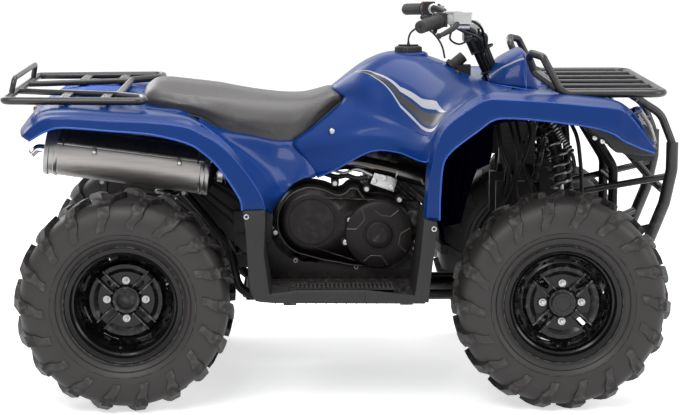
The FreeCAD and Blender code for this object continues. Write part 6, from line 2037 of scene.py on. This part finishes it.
def build_world(scene):
    """A world that lights the object and shows white."""
    world = bpy.data.worlds.new("studio")
    scene.world = world
    world.use_nodes = True
    tree = world.node_tree
    background = tree.nodes["Background"]
    background.inputs["Strength"].default_value = 1.0
    mix = tree.nodes.new("ShaderNodeMix")
    mix.data_type = "RGBA"
    tree.links.new(seen_or_mirrored(tree), mix.inputs["Factor"])
    mix.inputs["A"].default_value = (0.5, 0.51, 0.53, 1)
    mix.inputs["B"].default_value = (1, 1, 1, 1)
    tree.links.new(mix.outputs["Result"], background.inputs["Color"])


def build_lights(scene):
    """Four area lights."""
    for name, place, aim, size, power in (
            ("key", (-1.5, -4.0, 4.2), (0, 0, 0.6), 2.6, 175),
            ("top", (0.4, 0.3, 4.6), (0, 0, 0.5), 3.4, 170),
            ("front", (4.4, -2.2, 2.4), (0.3, 0, 0.6), 2.2, 70),
            ("back", (-2.5, 3.8, 2.8), (0, 0, 0.6), 2.6, 75)):
        lamp = bpy.data.lights.new(name, "AREA")
        lamp.size = size
        lamp.energy = power
        light = bpy.data.objects.new(name, lamp)
        scene.collection.objects.link(light)
        light.location = place
        light.rotation_euler = (Vector(aim) - Vector(place)).to_track_quat("-Z", "Y").to_euler()


def build_camera(scene):
    """The camera of the photograph."""
    lens = bpy.data.cameras.new("camera")
    lens.sensor_width = 36
    lens.lens = 101.06
    lens.clip_end = 200
    camera = bpy.data.objects.new("camera", lens)
    scene.collection.objects.link(camera)
    camera.location = (-0.109, -5.9, 1.47)
    pitch, yaw = radians(9.3), radians(1.2)
    look = Vector((sin(yaw) * cos(pitch), cos(yaw) * cos(pitch), -sin(pitch)))
    camera.rotation_euler = look.to_track_quat("-Z", "Y").to_euler()
    scene.camera = camera


class QUAD_OT_stage(bpy.types.Operator):
    """Builds the floor, the lights and the camera"""

    bl_idname = "quad.stage"
    bl_label = "Stage"

    def execute(self, context):
        scene = context.scene
        scene.view_settings.view_transform = "Standard"
        build_floor()
        build_world(scene)
        build_lights(scene)
        build_camera(scene)
        return {"FINISHED"}


class QUAD_PT_panel(bpy.types.Panel):
    """Lists the steps and the sizes of the quad bike"""

    bl_label = "Quad bike"
    bl_idname = "QUAD_PT_panel"
    bl_space_type = "VIEW_3D"
    bl_region_type = "UI"
    bl_category = "Quad bike"

    def draw(self, context):
        layout = self.layout
        for step in STEPS:
            layout.operator(step.bl_idname)
        for settings in (context.scene.quad_colours, context.scene.quad_tyre, context.scene.quad_panels):
            box = layout.box()
            for name in settings.bl_rna.properties.keys():
                if name not in ("rna_type", "name"):
                    box.prop(settings, name)


STEPS = (QUAD_OT_finishes, QUAD_OT_wheels, QUAD_OT_rear_body, QUAD_OT_front_body, QUAD_OT_seat,
         QUAD_OT_engine, QUAD_OT_exhaust, QUAD_OT_springs, QUAD_OT_controls, QUAD_OT_filler,
         QUAD_OT_lamps, QUAD_OT_footwells, QUAD_OT_trim, QUAD_OT_stage)
SETTINGS = (QuadColours, QuadTyre, QuadPanels)


def register():
    """Registers the settings, the steps and the panel."""
    for kind in (*SETTINGS, *STEPS, QUAD_PT_panel):
        bpy.utils.register_class(kind)
    bpy.types.Scene.quad_colours = bpy.props.PointerProperty(type=QuadColours)
    bpy.types.Scene.quad_tyre = bpy.props.PointerProperty(type=QuadTyre)
    bpy.types.Scene.quad_panels = bpy.props.PointerProperty(type=QuadPanels)


def unregister():
    """Takes the settings, the steps and the panel out again."""
    del bpy.types.Scene.quad_colours
    del bpy.types.Scene.quad_tyre
    del bpy.types.Scene.quad_panels
    for kind in (QUAD_PT_panel, *reversed(STEPS), *reversed(SETTINGS)):
        bpy.utils.unregister_class(kind)


def main():
    """Builds every piece in order."""
    register()
    for step in STEPS:
        group, name = step.bl_idname.split(".")
        if getattr(getattr(bpy.ops, group), name)() != {"FINISHED"}:
            raise RuntimeError(f"{step.bl_label} didn't finish")


if __name__ == "__main__":
    main()
